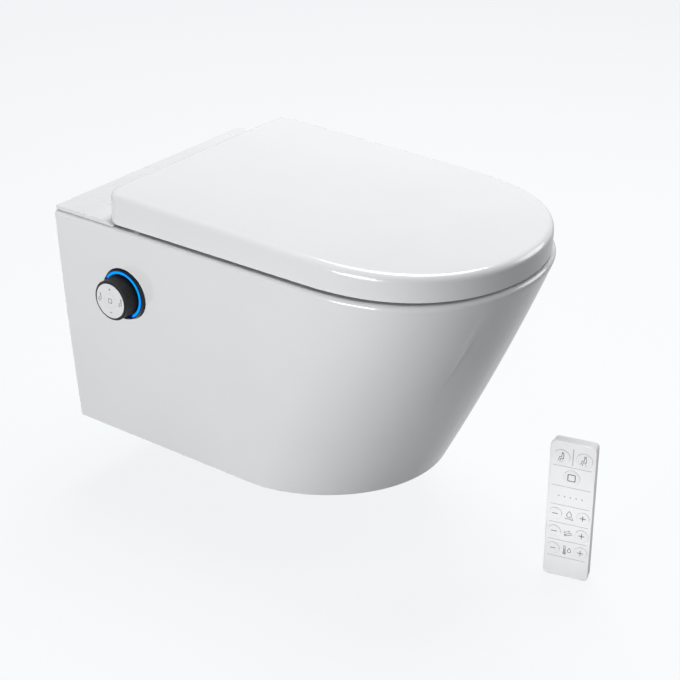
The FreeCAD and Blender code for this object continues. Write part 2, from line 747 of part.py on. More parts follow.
def seat_band(inset, lower, rounding, low, high):
    """Seat ring below the lid's slope by a given amount, between two heights."""
    tall = Part.Face(seat_outline(inset, -lower)).extrude(V(0, 0, -2 * LID_TOP_BACK))
    gap = HOUSING_HALF + LUG_GAP + inset
    room = block((-gap, gap), (-HOUSING_FRONT - 3.0 - inset, 0), (-3 * LID_TOP_BACK, CUT))
    tall = tall.cut([room, seat_opening(inset, -3 * LID_TOP_BACK, 4 * LID_TOP_BACK)])
    if rounding:
        tall = tall.makeFillet(rounding, top_edges(tall, -lower))
    return lean_forward(tall).common(slab_between(low, high))


def seat_base():
    """Lower shell of the seat, with the hinge lugs."""
    low = RIM_Z + SEAT_BOTTOM
    ring = seat_band(0.0, SEAT_UNDER_LID + LID_WALL, 0.0, low, low + SEAT_SPLIT)
    axis = hinge_point()
    start = HOUSING_HALF + LUG_GAP
    lugs = []
    for side in (-1, 1):
        ends = sorted((side * start, side * (start + SEAT_LUG_W)))
        lug = rod(axis + X_AXIS * side * start, X_AXIS * side, LUG_R, SEAT_LUG_W)
        arm = profile([
            V(ends[0], axis.y - LUG_R, axis.z),
            V(ends[0], axis.y, axis.z - LUG_R),
            V(ends[0], -SEAT_BACK, low + SEAT_SPLIT / 2),
            V(ends[0], -SEAT_BACK - SEAT_LUG_W, low + SEAT_SPLIT / 2),
            V(ends[0], -SEAT_BACK - SEAT_LUG_W, low + SEAT_SPLIT + 2.0),
            V(ends[0], axis.y - LUG_R - 2.5, axis.z - 2.0),
        ]).extrude(V(SEAT_LUG_W, 0, 0))
        lugs += [lug, arm]
    bore = rod(axis - X_AXIS * LID_W, X_AXIS, PIN_R + PIN_FIT, 2 * LID_W)
    return join([ring] + lugs).cut(bore)


def seat_top():
    """Upper shell that the user sits on, hollow over the lower one."""
    split = RIM_Z + SEAT_BOTTOM + SEAT_SPLIT
    lower = SEAT_UNDER_LID + LID_WALL
    high = split + 2 * LID_TOP_BACK
    ring = seat_band(0.0, lower, SEAT_ROUND, split, high)
    hollow = seat_band(SEAT_WALL, lower + SEAT_WALL, 0.0, split - CUT, high)
    gap = HOUSING_HALF + SEAT_LUG_W + 2 * LUG_GAP
    arms = block((-gap, gap), (-SEAT_BACK - SEAT_LUG_W - CUT, 0), (split - CUT, high))
    return ring.cut([hollow, arms])


def seat_heater():
    """Heating foil under the seat's skin."""
    lower = SEAT_UNDER_LID + LID_WALL + SEAT_WALL
    split = RIM_Z + SEAT_BOTTOM + SEAT_SPLIT
    high = split + 2 * LID_TOP_BACK
    sheet = seat_band(FOIL_INSET, lower, 0.0, split, high)
    under = seat_band(0.0, lower + FOIL_T, 0.0, split - CUT, high)
    behind = block((-LID_W, LID_W), (-HOUSING_FRONT, 0), (split - CUT, high))
    return sheet.cut([under, behind])


def seat_buffers():
    """Four soft pads that carry the seat on the ceramic."""
    pads = []
    for y in (SEAT_BACK + 112.0, LID_L - 110.0):
        for side in (-1, 1):
            half = seat_half() - 20.0 if y < PAN_L / 2 else seat_half() - 40.0
            pads.append(rod(V(side * half, -y, RIM_Z + REST_GAP), Z_AXIS, BUFFER_R,
                            SEAT_BOTTOM - REST_GAP))
    return group(pads)


# ---- wands ------------------------------------------------------------------
def lay_wand(shape):
    """Place a shape built along +Y behind the wand's tip into its sloping place."""
    placed = shape.copy()
    placed.rotate(ZERO, X_AXIS, WAND_ANGLE)
    placed.translate(V(0, -WAND_TIP_Y, depth(WAND_TIP_DOWN)))
    return placed


def wand_passage(side):
    """Room for a wand and its rack, as a cutter through the housing's front."""
    at = side * WAND_PITCH / 2
    hole = rod(V(at, -40.0, 0), Y_AXIS, WAND_R + 0.6, 60.0)
    rack = block((at - RACK_W / 2 - 0.6, at + RACK_W / 2 + 0.6), (-40.0, 20.0),
                 (0, RACK_PITCH_UP + RACK_TIP + 0.6))
    return lay_wand(hole.fuse(rack))


def rack_face(at):
    """Toothed rack seen from the side: straight flanks at the pressure angle."""
    pitch = math.pi * GEAR_MODULE
    lean = math.tan(math.radians(PRESSURE))
    root = RACK_PITCH_UP - 1.25 * GEAR_MODULE
    tip = RACK_PITCH_UP + RACK_TIP * GEAR_MODULE
    half_pitch = (pitch / 2 - BACKLASH) / 2
    half_tip = half_pitch - RACK_TIP * GEAR_MODULE * lean
    half_root = half_pitch + 1.25 * GEAR_MODULE * lean
    first = PINION_AT + pitch / 2
    first -= pitch * math.floor((first - RACK_FROM - pitch / 2) / pitch)
    count = int((WAND_L - first) / pitch)
    points = [V(at, RACK_FROM, 0), V(at, RACK_FROM, root)]
    for i in range(count):
        middle = first + i * pitch
        points.append(V(at, middle - half_root, root))
        points.append(V(at, middle - half_tip, tip))
        points.append(V(at, middle + half_tip, tip))
        points.append(V(at, middle + half_root, root))
    points += [V(at, WAND_L, root), V(at, WAND_L, 0)]
    return profile(points)


def wand(side):
    """Sliding wand tube with the rack on its back."""
    at = side * WAND_PITCH / 2
    tube = rod(V(at, TIP_L, 0), Y_AXIS, WAND_R, WAND_L - TIP_L)
    rack = rack_face(at - RACK_W / 2).extrude(V(RACK_W, 0, 0))
    bore = rod(V(at, TIP_L - CUT, -1.0), Y_AXIS, WAND_BORE_R, WAND_L)
    return lay_wand(tube.fuse(rack).cut(bore))


def wand_tip(side):
    """Removable spray tip: rounded nose and jet holes facing up."""
    at = side * WAND_PITCH / 2
    body = rod(V(at, 0, 0), Y_AXIS, WAND_R, TIP_L)
    nose_edge = [e for e in body.Edges if e.BoundBox.YMax < 0.01]
    body = body.makeFillet(WAND_R - 2.5, nose_edge)
    flat = block((at - WAND_R, at + WAND_R), (-CUT, TIP_L - 7.0),
                 (WAND_R - 1.2, WAND_R + CUT))
    jets = [rod(V(at + dx, 9.0 + dy, 0), Z_AXIS, 0.7, WAND_R)
            for dx, dy in ((0, -2.5), (0, 2.5), (-2.5, 0), (2.5, 0))]
    feed = rod(V(at, 9.0, -1.0), Y_AXIS, WAND_BORE_R, TIP_L)
    return lay_wand(body.cut([flat, feed] + jets))


def involute(base, radius):
    """Angle turned by an involute between its base circle and a radius."""
    turn = math.sqrt((radius / base) ** 2 - 1)
    return turn - math.atan(turn)


def pinion_outline(x):
    """Involute teeth on radial roots, a tooth pointing at the rack."""
    pitch_r = GEAR_MODULE * PINION_TEETH / 2
    base = pitch_r * math.cos(math.radians(PRESSURE))
    tip = pitch_r + GEAR_MODULE
    root = pitch_r - 1.2 * GEAR_MODULE
    half = (math.pi * GEAR_MODULE / 2 - BACKLASH) / (2 * pitch_r)
    at_base = half + involute(base, pitch_r)
    steps = 4
    flank = [(root, at_base)]
    for i in range(steps + 1):
        radius = base + (tip - base) * i / steps
        flank.append((radius, at_base - involute(base, radius)))
    points = []
    for tooth in range(PINION_TEETH):
        centre = -math.pi / 2 + 2 * math.pi * tooth / PINION_TEETH
        left = [(r, centre - a) for r, a in flank]
        right = [(r, centre + a) for r, a in reversed(flank)]
        for radius, angle in left + right:
            points.append(V(x, radius * math.cos(angle), radius * math.sin(angle)))
    return points


def pinion_centre():
    return V(0, PINION_AT, RACK_PITCH_UP + GEAR_MODULE * PINION_TEETH / 2)


def pinion(side):
    """Small gear that drives a wand, on its motor's shaft."""
    at = side * WAND_PITCH / 2 - PINION_W / 2
    gear = profile(pinion_outline(at)).extrude(V(PINION_W, 0, 0))
    gear.translate(pinion_centre())
    bore = rod(pinion_centre() + X_AXIS * (at - CUT), X_AXIS, SHAFT_R + PIN_FIT,
               PINION_W + 2 * CUT)
    return lay_wand(gear.cut(bore))


def wand_motor(side):
    """Stepper motor can with its shaft through the pinion."""
    inner = CRADLE_HALF
    can = rod(pinion_centre() + X_AXIS * side * inner, X_AXIS * side, MOTOR_R, MOTOR_L)
    shaft_in = WAND_PITCH / 2 - PINION_W / 2 - 0.5
    shaft = rod(pinion_centre() + X_AXIS * side * shaft_in, X_AXIS * side, SHAFT_R,
                inner - shaft_in + CUT)
    return lay_wand(can.fuse(shaft))


def wand_cradle():
    """Moulded trough with a front guide block and cheeks for the motors."""
    low = -CRADLE_DEEP
    trough = block((-CRADLE_HALF, CRADLE_HALF), (GUIDE_FROM, WAND_L), (low, -1.5))
    guide = block((-CRADLE_HALF, CRADLE_HALF), (GUIDE_FROM, GUIDE_TO), (low, WAND_R + 2.0))
    parts = [trough, guide]
    for side in (-1, 1):
        ends = sorted((side * CRADLE_HALF, side * (CRADLE_HALF - CHEEK_T)))
        cheek = block(ends, (PINION_AT - MOTOR_R, PINION_AT + MOTOR_R),
                      (low, pinion_centre().z + MOTOR_R - 2.0))
        parts.append(cheek)
    body = join(parts)
    cutters = []
    for side in (-1, 1):
        at = side * WAND_PITCH / 2
        cutters.append(rod(V(at, 0, 0), Y_AXIS, WAND_R + WAND_FIT, WAND_L + CUT))
        cutters.append(block((at - RACK_W / 2 - 0.4, at + RACK_W / 2 + 0.4),
                             (0, GUIDE_TO + CUT), (0, WAND_R + 3.0)))
        hole = pinion_centre() + X_AXIS * side * (CRADLE_HALF - CHEEK_T - CUT)
        cutters.append(rod(hole, X_AXIS * side, SHAFT_R + PIN_FIT, CHEEK_T + 2 * CUT))
    body = lay_wand(body.cut(cutters))
    legs = []
    for back in (62.0, WAND_L - 12.0):
        foot = V(0, -WAND_TIP_Y + back * math.cos(math.radians(WAND_ANGLE)), 0)
        top = depth(WAND_TIP_DOWN) + back * math.sin(math.radians(WAND_ANGLE))
        top -= CRADLE_DEEP - 1.0
        legs.append(block((-12.0, 12.0), (foot.y - 5.0, foot.y + 5.0),
                          (depth(WELL_DEPTH), top)))
    leg_room = [lay_wand(rod(V(s * WAND_PITCH / 2, 0, 0), Y_AXIS, WAND_R + WAND_FIT,
                             WAND_L + CUT)) for s in (-1, 1)]
    legs = [leg.cut(leg_room) for leg in legs]
    return join([body] + legs)


# ---- dryer ------------------------------------------------------------------
def hollow_box(x, y, z, wall):
    inner = [(a + wall, b - wall) for a, b in (x, y, z)]
    return block(x, y, z), block(*inner)


def dryer_duct():
    """Elbow duct with the heater, from the blower to the front outlet."""
    front = -HOUSING_FRONT + HOUSING_WALL
    rise, rise_in = hollow_box((DUCT_IN, DUCT_OUT), (-BAY_FRONT + CUT, -DUCT_BACK),
                               (depth(DUCT_DROP), depth(DUCT_TOP)), DUCT_WALL)
    run, run_in = hollow_box((DUCT_IN, DUCT_OUT), (front, -DUCT_BACK),
                             (depth(DUCT_BASE), depth(DUCT_TOP)), DUCT_WALL)
    mouth = block((DUCT_IN + DUCT_WALL, DUCT_OUT - DUCT_WALL), (front - CUT, front + 2 * DUCT_WALL),
                  (depth(DUCT_BASE - DUCT_WALL), depth(DUCT_TOP + DUCT_WALL)))
    inlet = block((DUCT_OUT - 2 * DUCT_WALL, DUCT_OUT + CUT),
                  (-BAY_FRONT + CUT + DUCT_WALL, -DUCT_BACK - DUCT_WALL),
                  (depth(DUCT_DROP - DUCT_WALL), depth(BLOWER_TOP + 2 * DUCT_WALL)))
    return rise.fuse(run).cut([rise_in, run_in, mouth, inlet]).removeSplitter()


def spiral_face(grow, z):
    """Volute outline: the radius grows evenly round to a straight neck."""
    steps = 24
    points = []
    for i in range(steps + 1):
        angle = -math.pi / 2 - 2 * math.pi * i / steps
        radius = BLOWER_R + grow + SPIRAL_GROWTH * i / steps
        points.append(V(BLOWER_X + radius * math.cos(angle),
                        -BLOWER_Y + radius * math.sin(angle), z))
    return profile(points)


def blower_housing():
    """Spiral blower case with its outlet neck, motor boss and feet."""
    low = depth(BLOWER_TOP + BLOWER_H)
    outer = spiral_face(0.0, low).extrude(V(0, 0, BLOWER_H))
    neck_y = (-BAY_FRONT + CUT + DUCT_WALL, -DUCT_BACK - DUCT_WALL)
    neck = block((DUCT_OUT, BLOWER_X), neck_y, (low, low + BLOWER_H))
    inner = spiral_face(-2.0, low + 2.0).extrude(V(0, 0, BLOWER_H - 4.0))
    neck_in = block((DUCT_OUT - CUT, BLOWER_X), (neck_y[0] + 2.0, neck_y[1] - 2.0),
                    (low + 2.0, low + BLOWER_H - 2.0))
    eye = rod(V(BLOWER_X, -BLOWER_Y, low + BLOWER_H - 2 - CUT), Z_AXIS, IMPELLER_R - 7.0, 5.0)
    boss = rod(V(BLOWER_X, -BLOWER_Y, low + CUT), Z_AXIS, 6.0, 3.0)
    shaft = rod(V(BLOWER_X, -BLOWER_Y, low + CUT), Z_AXIS, SHAFT_R, BLOWER_H - 6.0)
    feet = []
    for dx, dy in ((-20.0, 20.0), (20.0, 20.0), (20.0, -20.0)):
        feet.append(rod(V(BLOWER_X + dx, -BLOWER_Y + dy, depth(BAY_DEPTH - TRAY_T - 50.0)),
                        Z_AXIS, 4.0, BAY_DEPTH - TRAY_T - 50.0 - BLOWER_TOP - BLOWER_H + CUT))
    case = outer.fuse(neck).cut([inner, neck_in, eye])
    return join([case, boss, shaft] + feet)


def blower_impeller():
    """Forward-curved blade ring on a hub."""
    low = depth(BLOWER_TOP + BLOWER_H) + 5.0
    at = V(BLOWER_X, -BLOWER_Y, low)
    disc = rod(at, Z_AXIS, IMPELLER_R, 1.5)
    hub = rod(at, Z_AXIS, 6.0, IMPELLER_H - 6.0)
    ring = pipe(at + Z_AXIS * (IMPELLER_H - 1.5), Z_AXIS, IMPELLER_R, IMPELLER_R - 5.0, 1.5)
    blades = []
    for i in range(BLADES):
        blade = block((IMPELLER_R - 5.0, IMPELLER_R - 0.3), (-BLADE_T / 2, BLADE_T / 2),
                      (CUT, IMPELLER_H - 1.0))
        blade.rotate(V(IMPELLER_R - 2.5, 0, 0), Z_AXIS, 35.0)
        blade.rotate(ZERO, Z_AXIS, 360.0 * i / BLADES)
        blade.translate(at)
        blades.append(blade)
    bore = rod(at - Z_AXIS * CUT, Z_AXIS, SHAFT_R + PIN_FIT, IMPELLER_H)
    trim = rod(at, Z_AXIS, IMPELLER_R, IMPELLER_H)
    return join([disc, hub, ring] + [b.common(trim) for b in blades]).cut(bore)


def flap_axis():
    return V(0, -HOUSING_FRONT - FLAP_PIN_R - 0.4, depth(DUCT_TOP - 1.0))


def flap_eyes():
    """Two small eyes on the housing that hold the flap's pivot."""
    eyes = []
    for start in (DUCT_IN - 3.4, DUCT_OUT + 0.4):
        at = flap_axis() + X_AXIS * start
        eye = rod(at, X_AXIS, FLAP_PIN_R + 1.2, 3.0)
        web = block((start, start + 3.0), (-HOUSING_FRONT - FLAP_PIN_R, -HOUSING_FRONT + 1.0),
                    (at.z - FLAP_PIN_R - 1.0, at.z + FLAP_PIN_R + 1.0))
        eyes.append(join([eye, web]).cut(rod(at - X_AXIS, X_AXIS, FLAP_PIN_R + PIN_FIT, 5.0)))
    return eyes


def dryer_flap():
    """Flap that the warm air lifts."""
    axis = flap_axis()
    pin = rod(axis + X_AXIS * (DUCT_IN - 3.0), X_AXIS, FLAP_PIN_R, DUCT_OUT - DUCT_IN + 6.0)
    plate = block((DUCT_IN + 0.2, DUCT_OUT - 0.2), (axis.y - FLAP_T / 2, axis.y + FLAP_T / 2),
                  (depth(DUCT_BASE + 0.5), axis.z))
    return join([pin, plate])


# ---- water and electrics ----------------------------------------------------
def bay_tray(side):
    """Shallow tray on the floor of a bay that carries its units."""
    x = (BAY_INNER + TRAY_GAP, WELL_HALF - TRAY_GAP)
    y = (-BAY_FRONT + TRAY_GAP, -BAY_BACK - TRAY_GAP)
    z = (depth(BAY_DEPTH), depth(BAY_DEPTH) + TRAY_RIM)
    outer = vertical_round(block(x, y, z), BAY_ROUND - TRAY_GAP)
    inner = block((x[0] + TRAY_T, x[1] - TRAY_T), (y[0] + TRAY_T, y[1] - TRAY_T),
                  (z[0] + TRAY_T, z[1] + CUT))
    tray = outer.cut(vertical_round(inner, BAY_ROUND - TRAY_GAP - TRAY_T))
    return tray if side > 0 else mirrored(tray)


def tray_top():
    return depth(BAY_DEPTH) + TRAY_T


def water_heater():
    """Instant heater: ribbed block with two ports."""
    low = tray_top()
    high = depth(BAY_DEPTH - TRAY_T - 50.0)
    body = block((52.0, 148.0), (-198.0, -136.0), (low, high))
    ribs = [block((x, x + 2.5), (-200.0, -134.0), (low, high)) for x in range(58, 146, 14)]
    ports = [rod(V(x, -138.0, low + 28.0), Y_AXIS, 4.5, 13.0) for x in (66.0, 134.0)]
    return join([body] + ribs + ports)


def water_pump():
    """Small pump: motor can, head and two spouts, on a saddle."""
    at = V(54.0, -102.0, tray_top() + PUMP_R + 2.0)
    can = rod(at, X_AXIS, PUMP_R - 3.0, PUMP_L - 26.0)
    head = rod(at + X_AXIS * (PUMP_L - 28.0), X_AXIS, PUMP_R, 28.0)
    spouts = [rod(at + V(PUMP_L - 20.0, dy, 0), Z_AXIS, 3.8, PUMP_R + 12.0) for dy in (-9.0, 9.0)]
    saddle = block((58.0, 132.0), (-114.0, -90.0), (tray_top(), tray_top() + 8.0))
    return join([can, head, saddle] + spouts)


def inlet_valve():
    """Solenoid valve behind the water fitting."""
    at = V(FITTING_OUT, -BAY_BACK, depth(FITTING_DOWN))
    body = rod(at - Y_AXIS * 8.0, -Y_AXIS, 11.0, 30.0)
    coil = block((FITTING_OUT - 11.0, FITTING_OUT + 11.0), (-66.0, -42.0),
                 (at.z + 8.0, at.z + 26.0))
    spout = rod(at + V(0, -26.0, 0), -Z_AXIS, 4.0, 30.0)
    return join([body, coil, spout])


def water_inlet():
    """Threaded spigot for the supply hose, in its pocket in the back."""
    back = -FITTING_POCKET
    at = V(FITTING_OUT, back, depth(FITTING_DOWN))
    stem = rod(at, -Y_AXIS, THREAD_R, BAY_BACK + 8.0 + back)
    spigot = rod(at, Y_AXIS, THREAD_R, THREAD_L)
    collar = rod(at, Y_AXIS, THREAD_R + 5.0, 3.0)
    bore = rod(at + Y_AXIS * (THREAD_L + CUT), -Y_AXIS, THREAD_R - 3.4, 60.0)
    return join([stem, spigot, collar]).cut(bore)


def cable_gland():
    """Gland for the mains lead, in the matching pocket."""
    back = -FITTING_POCKET
    at = V(-FITTING_OUT, back, depth(FITTING_DOWN))
    stem = rod(at, -Y_AXIS, THREAD_R, BAY_BACK + 6.0 + back)
    nut = hexagon_prism(at, THREAD_R + 3.0, 6.0)
    dome = rod(at + Y_AXIS * 6.0, Y_AXIS, THREAD_R - 1.0, 6.0)
    bore = rod(at + Y_AXIS * 20.0, -Y_AXIS, CABLE_R, 60.0)
    return join([stem, nut, dome]).cut(bore)


def hexagon_prism(at, radius, length):
    """Hexagonal nut along +Y."""
    points = []
    for i in range(6):
        angle = math.radians(60.0 * i)
        points.append(at + V(radius * math.cos(angle), 0, radius * math.sin(angle)))
    return profile(points).extrude(Y_AXIS * length)


def water_filter():
    """Strainer cup with a ribbed cap."""
    at = V(57.0, -58.0, tray_top())
    cup = rod(at, Z_AXIS, 12.0, 46.0)
    cap = rod(at + Z_AXIS * 46.0, Z_AXIS, 14.0, 12.0)
    ribs = []
    for i in range(12):
        rib = block((13.0, 15.0), (-1.0, 1.0), (46.0, 58.0))
        rib.rotate(ZERO, Z_AXIS, 30.0 * i)
        rib.translate(at)
        ribs.append(rib)
    return join([cup, cap] + ribs)


def power_supply():
    """Mains supply in a vented case."""
    low = tray_top()
    case = block((-150.0, -52.0), (-196.0, -140.0), (low, low + 42.0))
    slots = [block((x, x + 3.0), (-188.0, -148.0), (low + 40.0, low + 43.0))
             for x in range(-142, -58, 9)]
    return case.cut(slots)


def control_board():
    """Circuit board on four posts, with its relays, coil and chips."""
    low = tray_top() + 50.0
    board = block((-150.0, -52.0), (-196.0, -138.0), (low, low + BOARD_T))
    posts = [rod(V(x, y, tray_top() + 42.0), Z_AXIS, 3.0, 8.5) for x in (-146.0, -56.0)
             for y in (-190.0, -144.0)]
    top = low + BOARD_T - 0.1
    relays = [block((x, x + 15.0), (-190.0, -172.0), (top, top + 14.0)) for x in (-140.0, -120.0)]
    chip = block((-96.0, -82.0), (-176.0, -162.0), (top, top + 2.0))
    coil = rod(V(-68.0, -184.0, top), Z_AXIS, 7.0, 12.0)
    cans = [rod(V(x, -150.0, top), Z_AXIS, 4.0, 14.0) for x in (-132.0, -121.0, -110.0)]
    return join([board, chip, coil] + posts + relays + cans)


def carbon_filter():
    """Deodoriser cassette with an open grille."""
    low = tray_top()
    case = block((-96.0, -56.0), (-96.0, -50.0), (low, low + 34.0))
    slots = [block((-92.0, -60.0), (y, y + 2.5), (low + 30.0, low + 35.0))
             for y in range(-92, -54, 6)]
    return case.cut(slots)


# ---- side knob --------------------------------------------------------------
def knob_at(x):
    """Point on the knob's axis at a distance out from the centre plane."""
    return V(-x, -KNOB_Y, depth(KNOB_DOWN))


def turned(points):
    """Solid of revolution about the knob's axis from (distance out, radius) pairs."""
    ring = [knob_at(x) + Z_AXIS * r for x, r in points]
    return profile(ring).revolve(knob_at(0), X_AXIS, 360.0)


def knob_bezel():
    """Flared base with the stem that clamps it to the ceramic and the knob's post."""
    groove = BEZEL_FACE - 2.0
    inner = WELL_HALF + 1.0
    post = KNOB_FRONT - 8.0
    flare = [(BEZEL_FACE - 9.0, BEZEL_R - 0.2), (BEZEL_FACE - 5.0, BEZEL_R - 0.8),
             (BEZEL_FACE - 2.0, BEZEL_R - 1.8), (BEZEL_FACE, BEZEL_FACE_R)]
    points = [(inner, STEM_R + 0.4), (inner, KNOB_HOLE_R - 0.3), (KNOB_SEAT, KNOB_HOLE_R - 0.3),
              (KNOB_SEAT, BEZEL_R)] + flare
    points += [(BEZEL_FACE, RING_OUT), (groove, RING_OUT), (groove, RING_IN),
               (BEZEL_FACE - 1.0, RING_IN), (BEZEL_FACE - 1.0, HUB_R), (post, HUB_R),
               (post, STEM_R + 0.4)]
    return turned(points)


def light_ring():
    """Glowing ring let into the bezel's face."""
    groove = BEZEL_FACE - 2.0
    crest = BEZEL_FACE + RING_PROUD
    return turned([(groove, RING_IN), (groove, RING_OUT), (BEZEL_FACE, RING_OUT),
                   (crest, RING_OUT - 0.6), (crest, RING_IN + 0.6), (BEZEL_FACE, RING_IN)])


def knob_ring():
    """Turning grip: ribbed outside, a plain bead at the front and a hub on the post."""
    low = BEZEL_FACE + 0.6
    ribs = []
    for i in range(2 * KNOB_RIBS):
        radius = KNOB_R if i % 2 else KNOB_CORE_R
        for part in (-0.24, 0.24):
            angle = math.pi * (i + part) / KNOB_RIBS
            ribs.append(knob_at(low) + V(0, radius * math.cos(angle), radius * math.sin(angle)))
    grip = profile(ribs).extrude(-X_AXIS * (KNOB_FRONT - KNOB_BEAD - low))
    front = KNOB_FRONT
    bead = turned([(front - KNOB_BEAD - 0.5, 0.0), (front - KNOB_BEAD - 0.5, KNOB_CORE_R),
                   (front - KNOB_BEAD, KNOB_R), (front - 1.0, KNOB_R), (front, KNOB_R - 0.7),
                   (front, 0.0)])
    room = rod(knob_at(low - CUT), -X_AXIS, FACE_R + 0.3, KNOB_FRONT - low + 2 * CUT)
    web = rod(knob_at(low), -X_AXIS, FACE_R + 0.8, 3.0)
    sleeve = rod(knob_at(low), -X_AXIS, HUB_R + HUB_WALL, KNOB_FRONT - 8.5 - low)
    bore = rod(knob_at(low - CUT), -X_AXIS, HUB_R + PIN_FIT, KNOB_FRONT - low + 2 * CUT)
    body = join([grip, bead]).cut(room)
    return join([body, web, sleeve]).cut(bore)


def knob_face():
    """Pressed disc with its stem to the switch; it stays upright as the ring turns."""
    front = KNOB_FRONT + 1.0
    disc = turned([(front - FACE_T, 0.0), (front - FACE_T, FACE_R), (front - 0.8, FACE_R),
                   (front, FACE_R - 0.8), (front, 0.0)])
    stem = rod(knob_at(WELL_HALF + CUT + KNOB_TRAVEL), -X_AXIS, STEM_R,
               front - FACE_T - WELL_HALF - CUT - KNOB_TRAVEL + 0.5)
    return join([disc, stem])


def knob_encoder():
    """Switch and turn sensor on the bay side, with its clamping nut."""
    out = WELL_HALF
    case = block((-out, -out + 13.0), (-KNOB_Y - 15.0, -KNOB_Y + 15.0),
                 (depth(KNOB_DOWN + 15.0), depth(KNOB_DOWN - 15.0)))
    plug = block((-out + 12.0, -out + 18.0), (-KNOB_Y - 8.0, -KNOB_Y + 8.0),
                 (depth(KNOB_DOWN + 14.0), depth(KNOB_DOWN + 8.0)))
    return join([case, plug])


def night_light():
    """Small lens beside the wands that lights the bowl."""
    at = V(-DUCT_IN - 8.0, -HOUSING_FRONT, depth(SLOT_DEPTH / 2))
    return rod(at, -Y_AXIS, 5.0, 1.6)


# ---- handset ----------------------------------------------------------------
def place_remote(shape):
    """Turn the handset, built facing -Y on the origin, and stand it on the floor."""
    placed = shape.copy()
    placed.rotate(ZERO, Z_AXIS, REMOTE_TURN)
    placed.translate(V(REMOTE_X, -REMOTE_Y, -FLOOR_BELOW))
    return placed


def rounded_slab(inset, y, corner, low_trim):
    """Upright slab with rounded corners between two depths."""
    half = REMOTE_W / 2 - inset
    slab = block((-half, half), y, (low_trim, REMOTE_H - inset))
    along = [e for e in slab.Edges if e.BoundBox.YLength > 0.5 * (y[1] - y[0])
             and e.BoundBox.XLength < 0.01 and e.BoundBox.ZLength < 0.01]
    return slab.makeFillet(corner, along)


def button_hole(across, down, radius):
    start = V(across, -REMOTE_FRONT_T - CUT, REMOTE_H - down)
    return rod(start, Y_AXIS, radius + BUTTON_GAP, 2 * REMOTE_FRONT_T)


def remote_front():
    """Front shell: flat plate with a fine raised rim, pierced for the buttons."""
    slab = rounded_slab(0.0, (-REMOTE_FRONT_T, 0.0), REMOTE_CORNER, 0.0)
    front = [e for e in slab.Edges if e.BoundBox.YMax < -REMOTE_FRONT_T + 0.01]
    slab = slab.makeFillet(REMOTE_EDGE, front)
    field = rounded_slab(FIELD_RIM, (-REMOTE_FRONT_T - CUT, -REMOTE_FRONT_T + FIELD_DEPTH),
                         REMOTE_CORNER - FIELD_RIM, FIELD_RIM)
    hollow = rounded_slab(REMOTE_WALL, (-REMOTE_FRONT_T + REMOTE_WALL, CUT),
                          REMOTE_CORNER - REMOTE_WALL, REMOTE_WALL)
    holes = [button_hole(*place) for place in BUTTONS.values()]
    return slab.cut([field, hollow] + holes + led_rods(-REMOTE_FRONT_T - CUT, REMOTE_FRONT_T))


def led_rods(start, length):
    """A row of rods along +Y at the lights' places."""
    first = -LED_PITCH * (LED_COUNT - 1) / 2
    places = [V(first + LED_PITCH * i, start, REMOTE_H - LED_DOWN) for i in range(LED_COUNT)]
    return [rod(place, Y_AXIS, LED_R, length) for place in places]


def remote_leds():
    """Five level lights."""
    return group(led_rods(-REMOTE_FRONT_T + FIELD_DEPTH, REMOTE_WALL))


def remote_back():
    """Rear shell, set in a little, with sloping ends and the battery bay."""
    slab = rounded_slab(REMOTE_INSET, (0.0, REMOTE_BACK_T), REMOTE_CORNER - REMOTE_INSET, 0.0)
    rear = [e for e in slab.Edges if e.BoundBox.YMin > REMOTE_BACK_T - 0.01]
    slab = slab.makeChamfer(2.5, rear)
    inset = REMOTE_INSET + REMOTE_WALL
    hollow = rounded_slab(inset, (-CUT, REMOTE_BACK_T - REMOTE_WALL), REMOTE_CORNER - inset, inset)
    half = DOOR_W / 2
    seat = block((-half - 0.3, half + 0.3), (REMOTE_BACK_T - DOOR_T, REMOTE_BACK_T + CUT),
                 (DOOR_BASE - 42.0, DOOR_BASE + DOOR_H + 0.3))
    bay = block((-half + 3.0, half - 3.0), (REMOTE_BACK_T - 2 * REMOTE_WALL, REMOTE_BACK_T),
                (DOOR_BASE + 4.0, DOOR_BASE + DOOR_H - 4.0))
    floor = block((-half - 2.0, half + 2.0), (REMOTE_BACK_T - 2 * REMOTE_WALL, REMOTE_BACK_T - DOOR_T),
                  (DOOR_BASE - 44.0, DOOR_BASE + DOOR_H + 2.0))
    return join([slab.cut([hollow, seat]), floor]).cut(bay)


def battery_door():
    """Door that slides down off the battery bay."""
    half = DOOR_W / 2
    door = block((-half, half), (REMOTE_BACK_T - DOOR_T, REMOTE_BACK_T),
                 (DOOR_BASE, DOOR_BASE + DOOR_H))
    grips = [block((-8.0, 8.0), (REMOTE_BACK_T - 0.6, REMOTE_BACK_T + CUT), (z, z + 1.2))
             for z in (DOOR_BASE + 44.0, DOOR_BASE + 47.0, DOOR_BASE + 50.0)]
    return door.cut(grips)


def remote_board():
    """Circuit board between the shells."""
    half = REMOTE_W / 2 - 5.0
    board = block((-half, half), (0.4, 0.4 + BOARD_T), (5.0, REMOTE_H - 6.0))
    room = 2 * CELL_R + 2.0
    window = block((-room, room), (0, 2 * BOARD_T), (DOOR_BASE + 6.0, DOOR_BASE + CELL_L + 10.0))
    return board.cut(window)


def remote_batteries():
    """Two AAA cells side by side."""
    cells = []
    for side in (-1, 1):
        at = V(side * (CELL_R + 1.0), REMOTE_BACK_T - 3.8 - CELL_R, DOOR_BASE + 8.0)
        cell = rod(at, Z_AXIS, CELL_R, CELL_L - 1.2)
        cap = rod(at + Z_AXIS * (CELL_L - 1.2), Z_AXIS, 1.9, 1.2)
        cells.append(cell.fuse(cap))
    return group(cells)


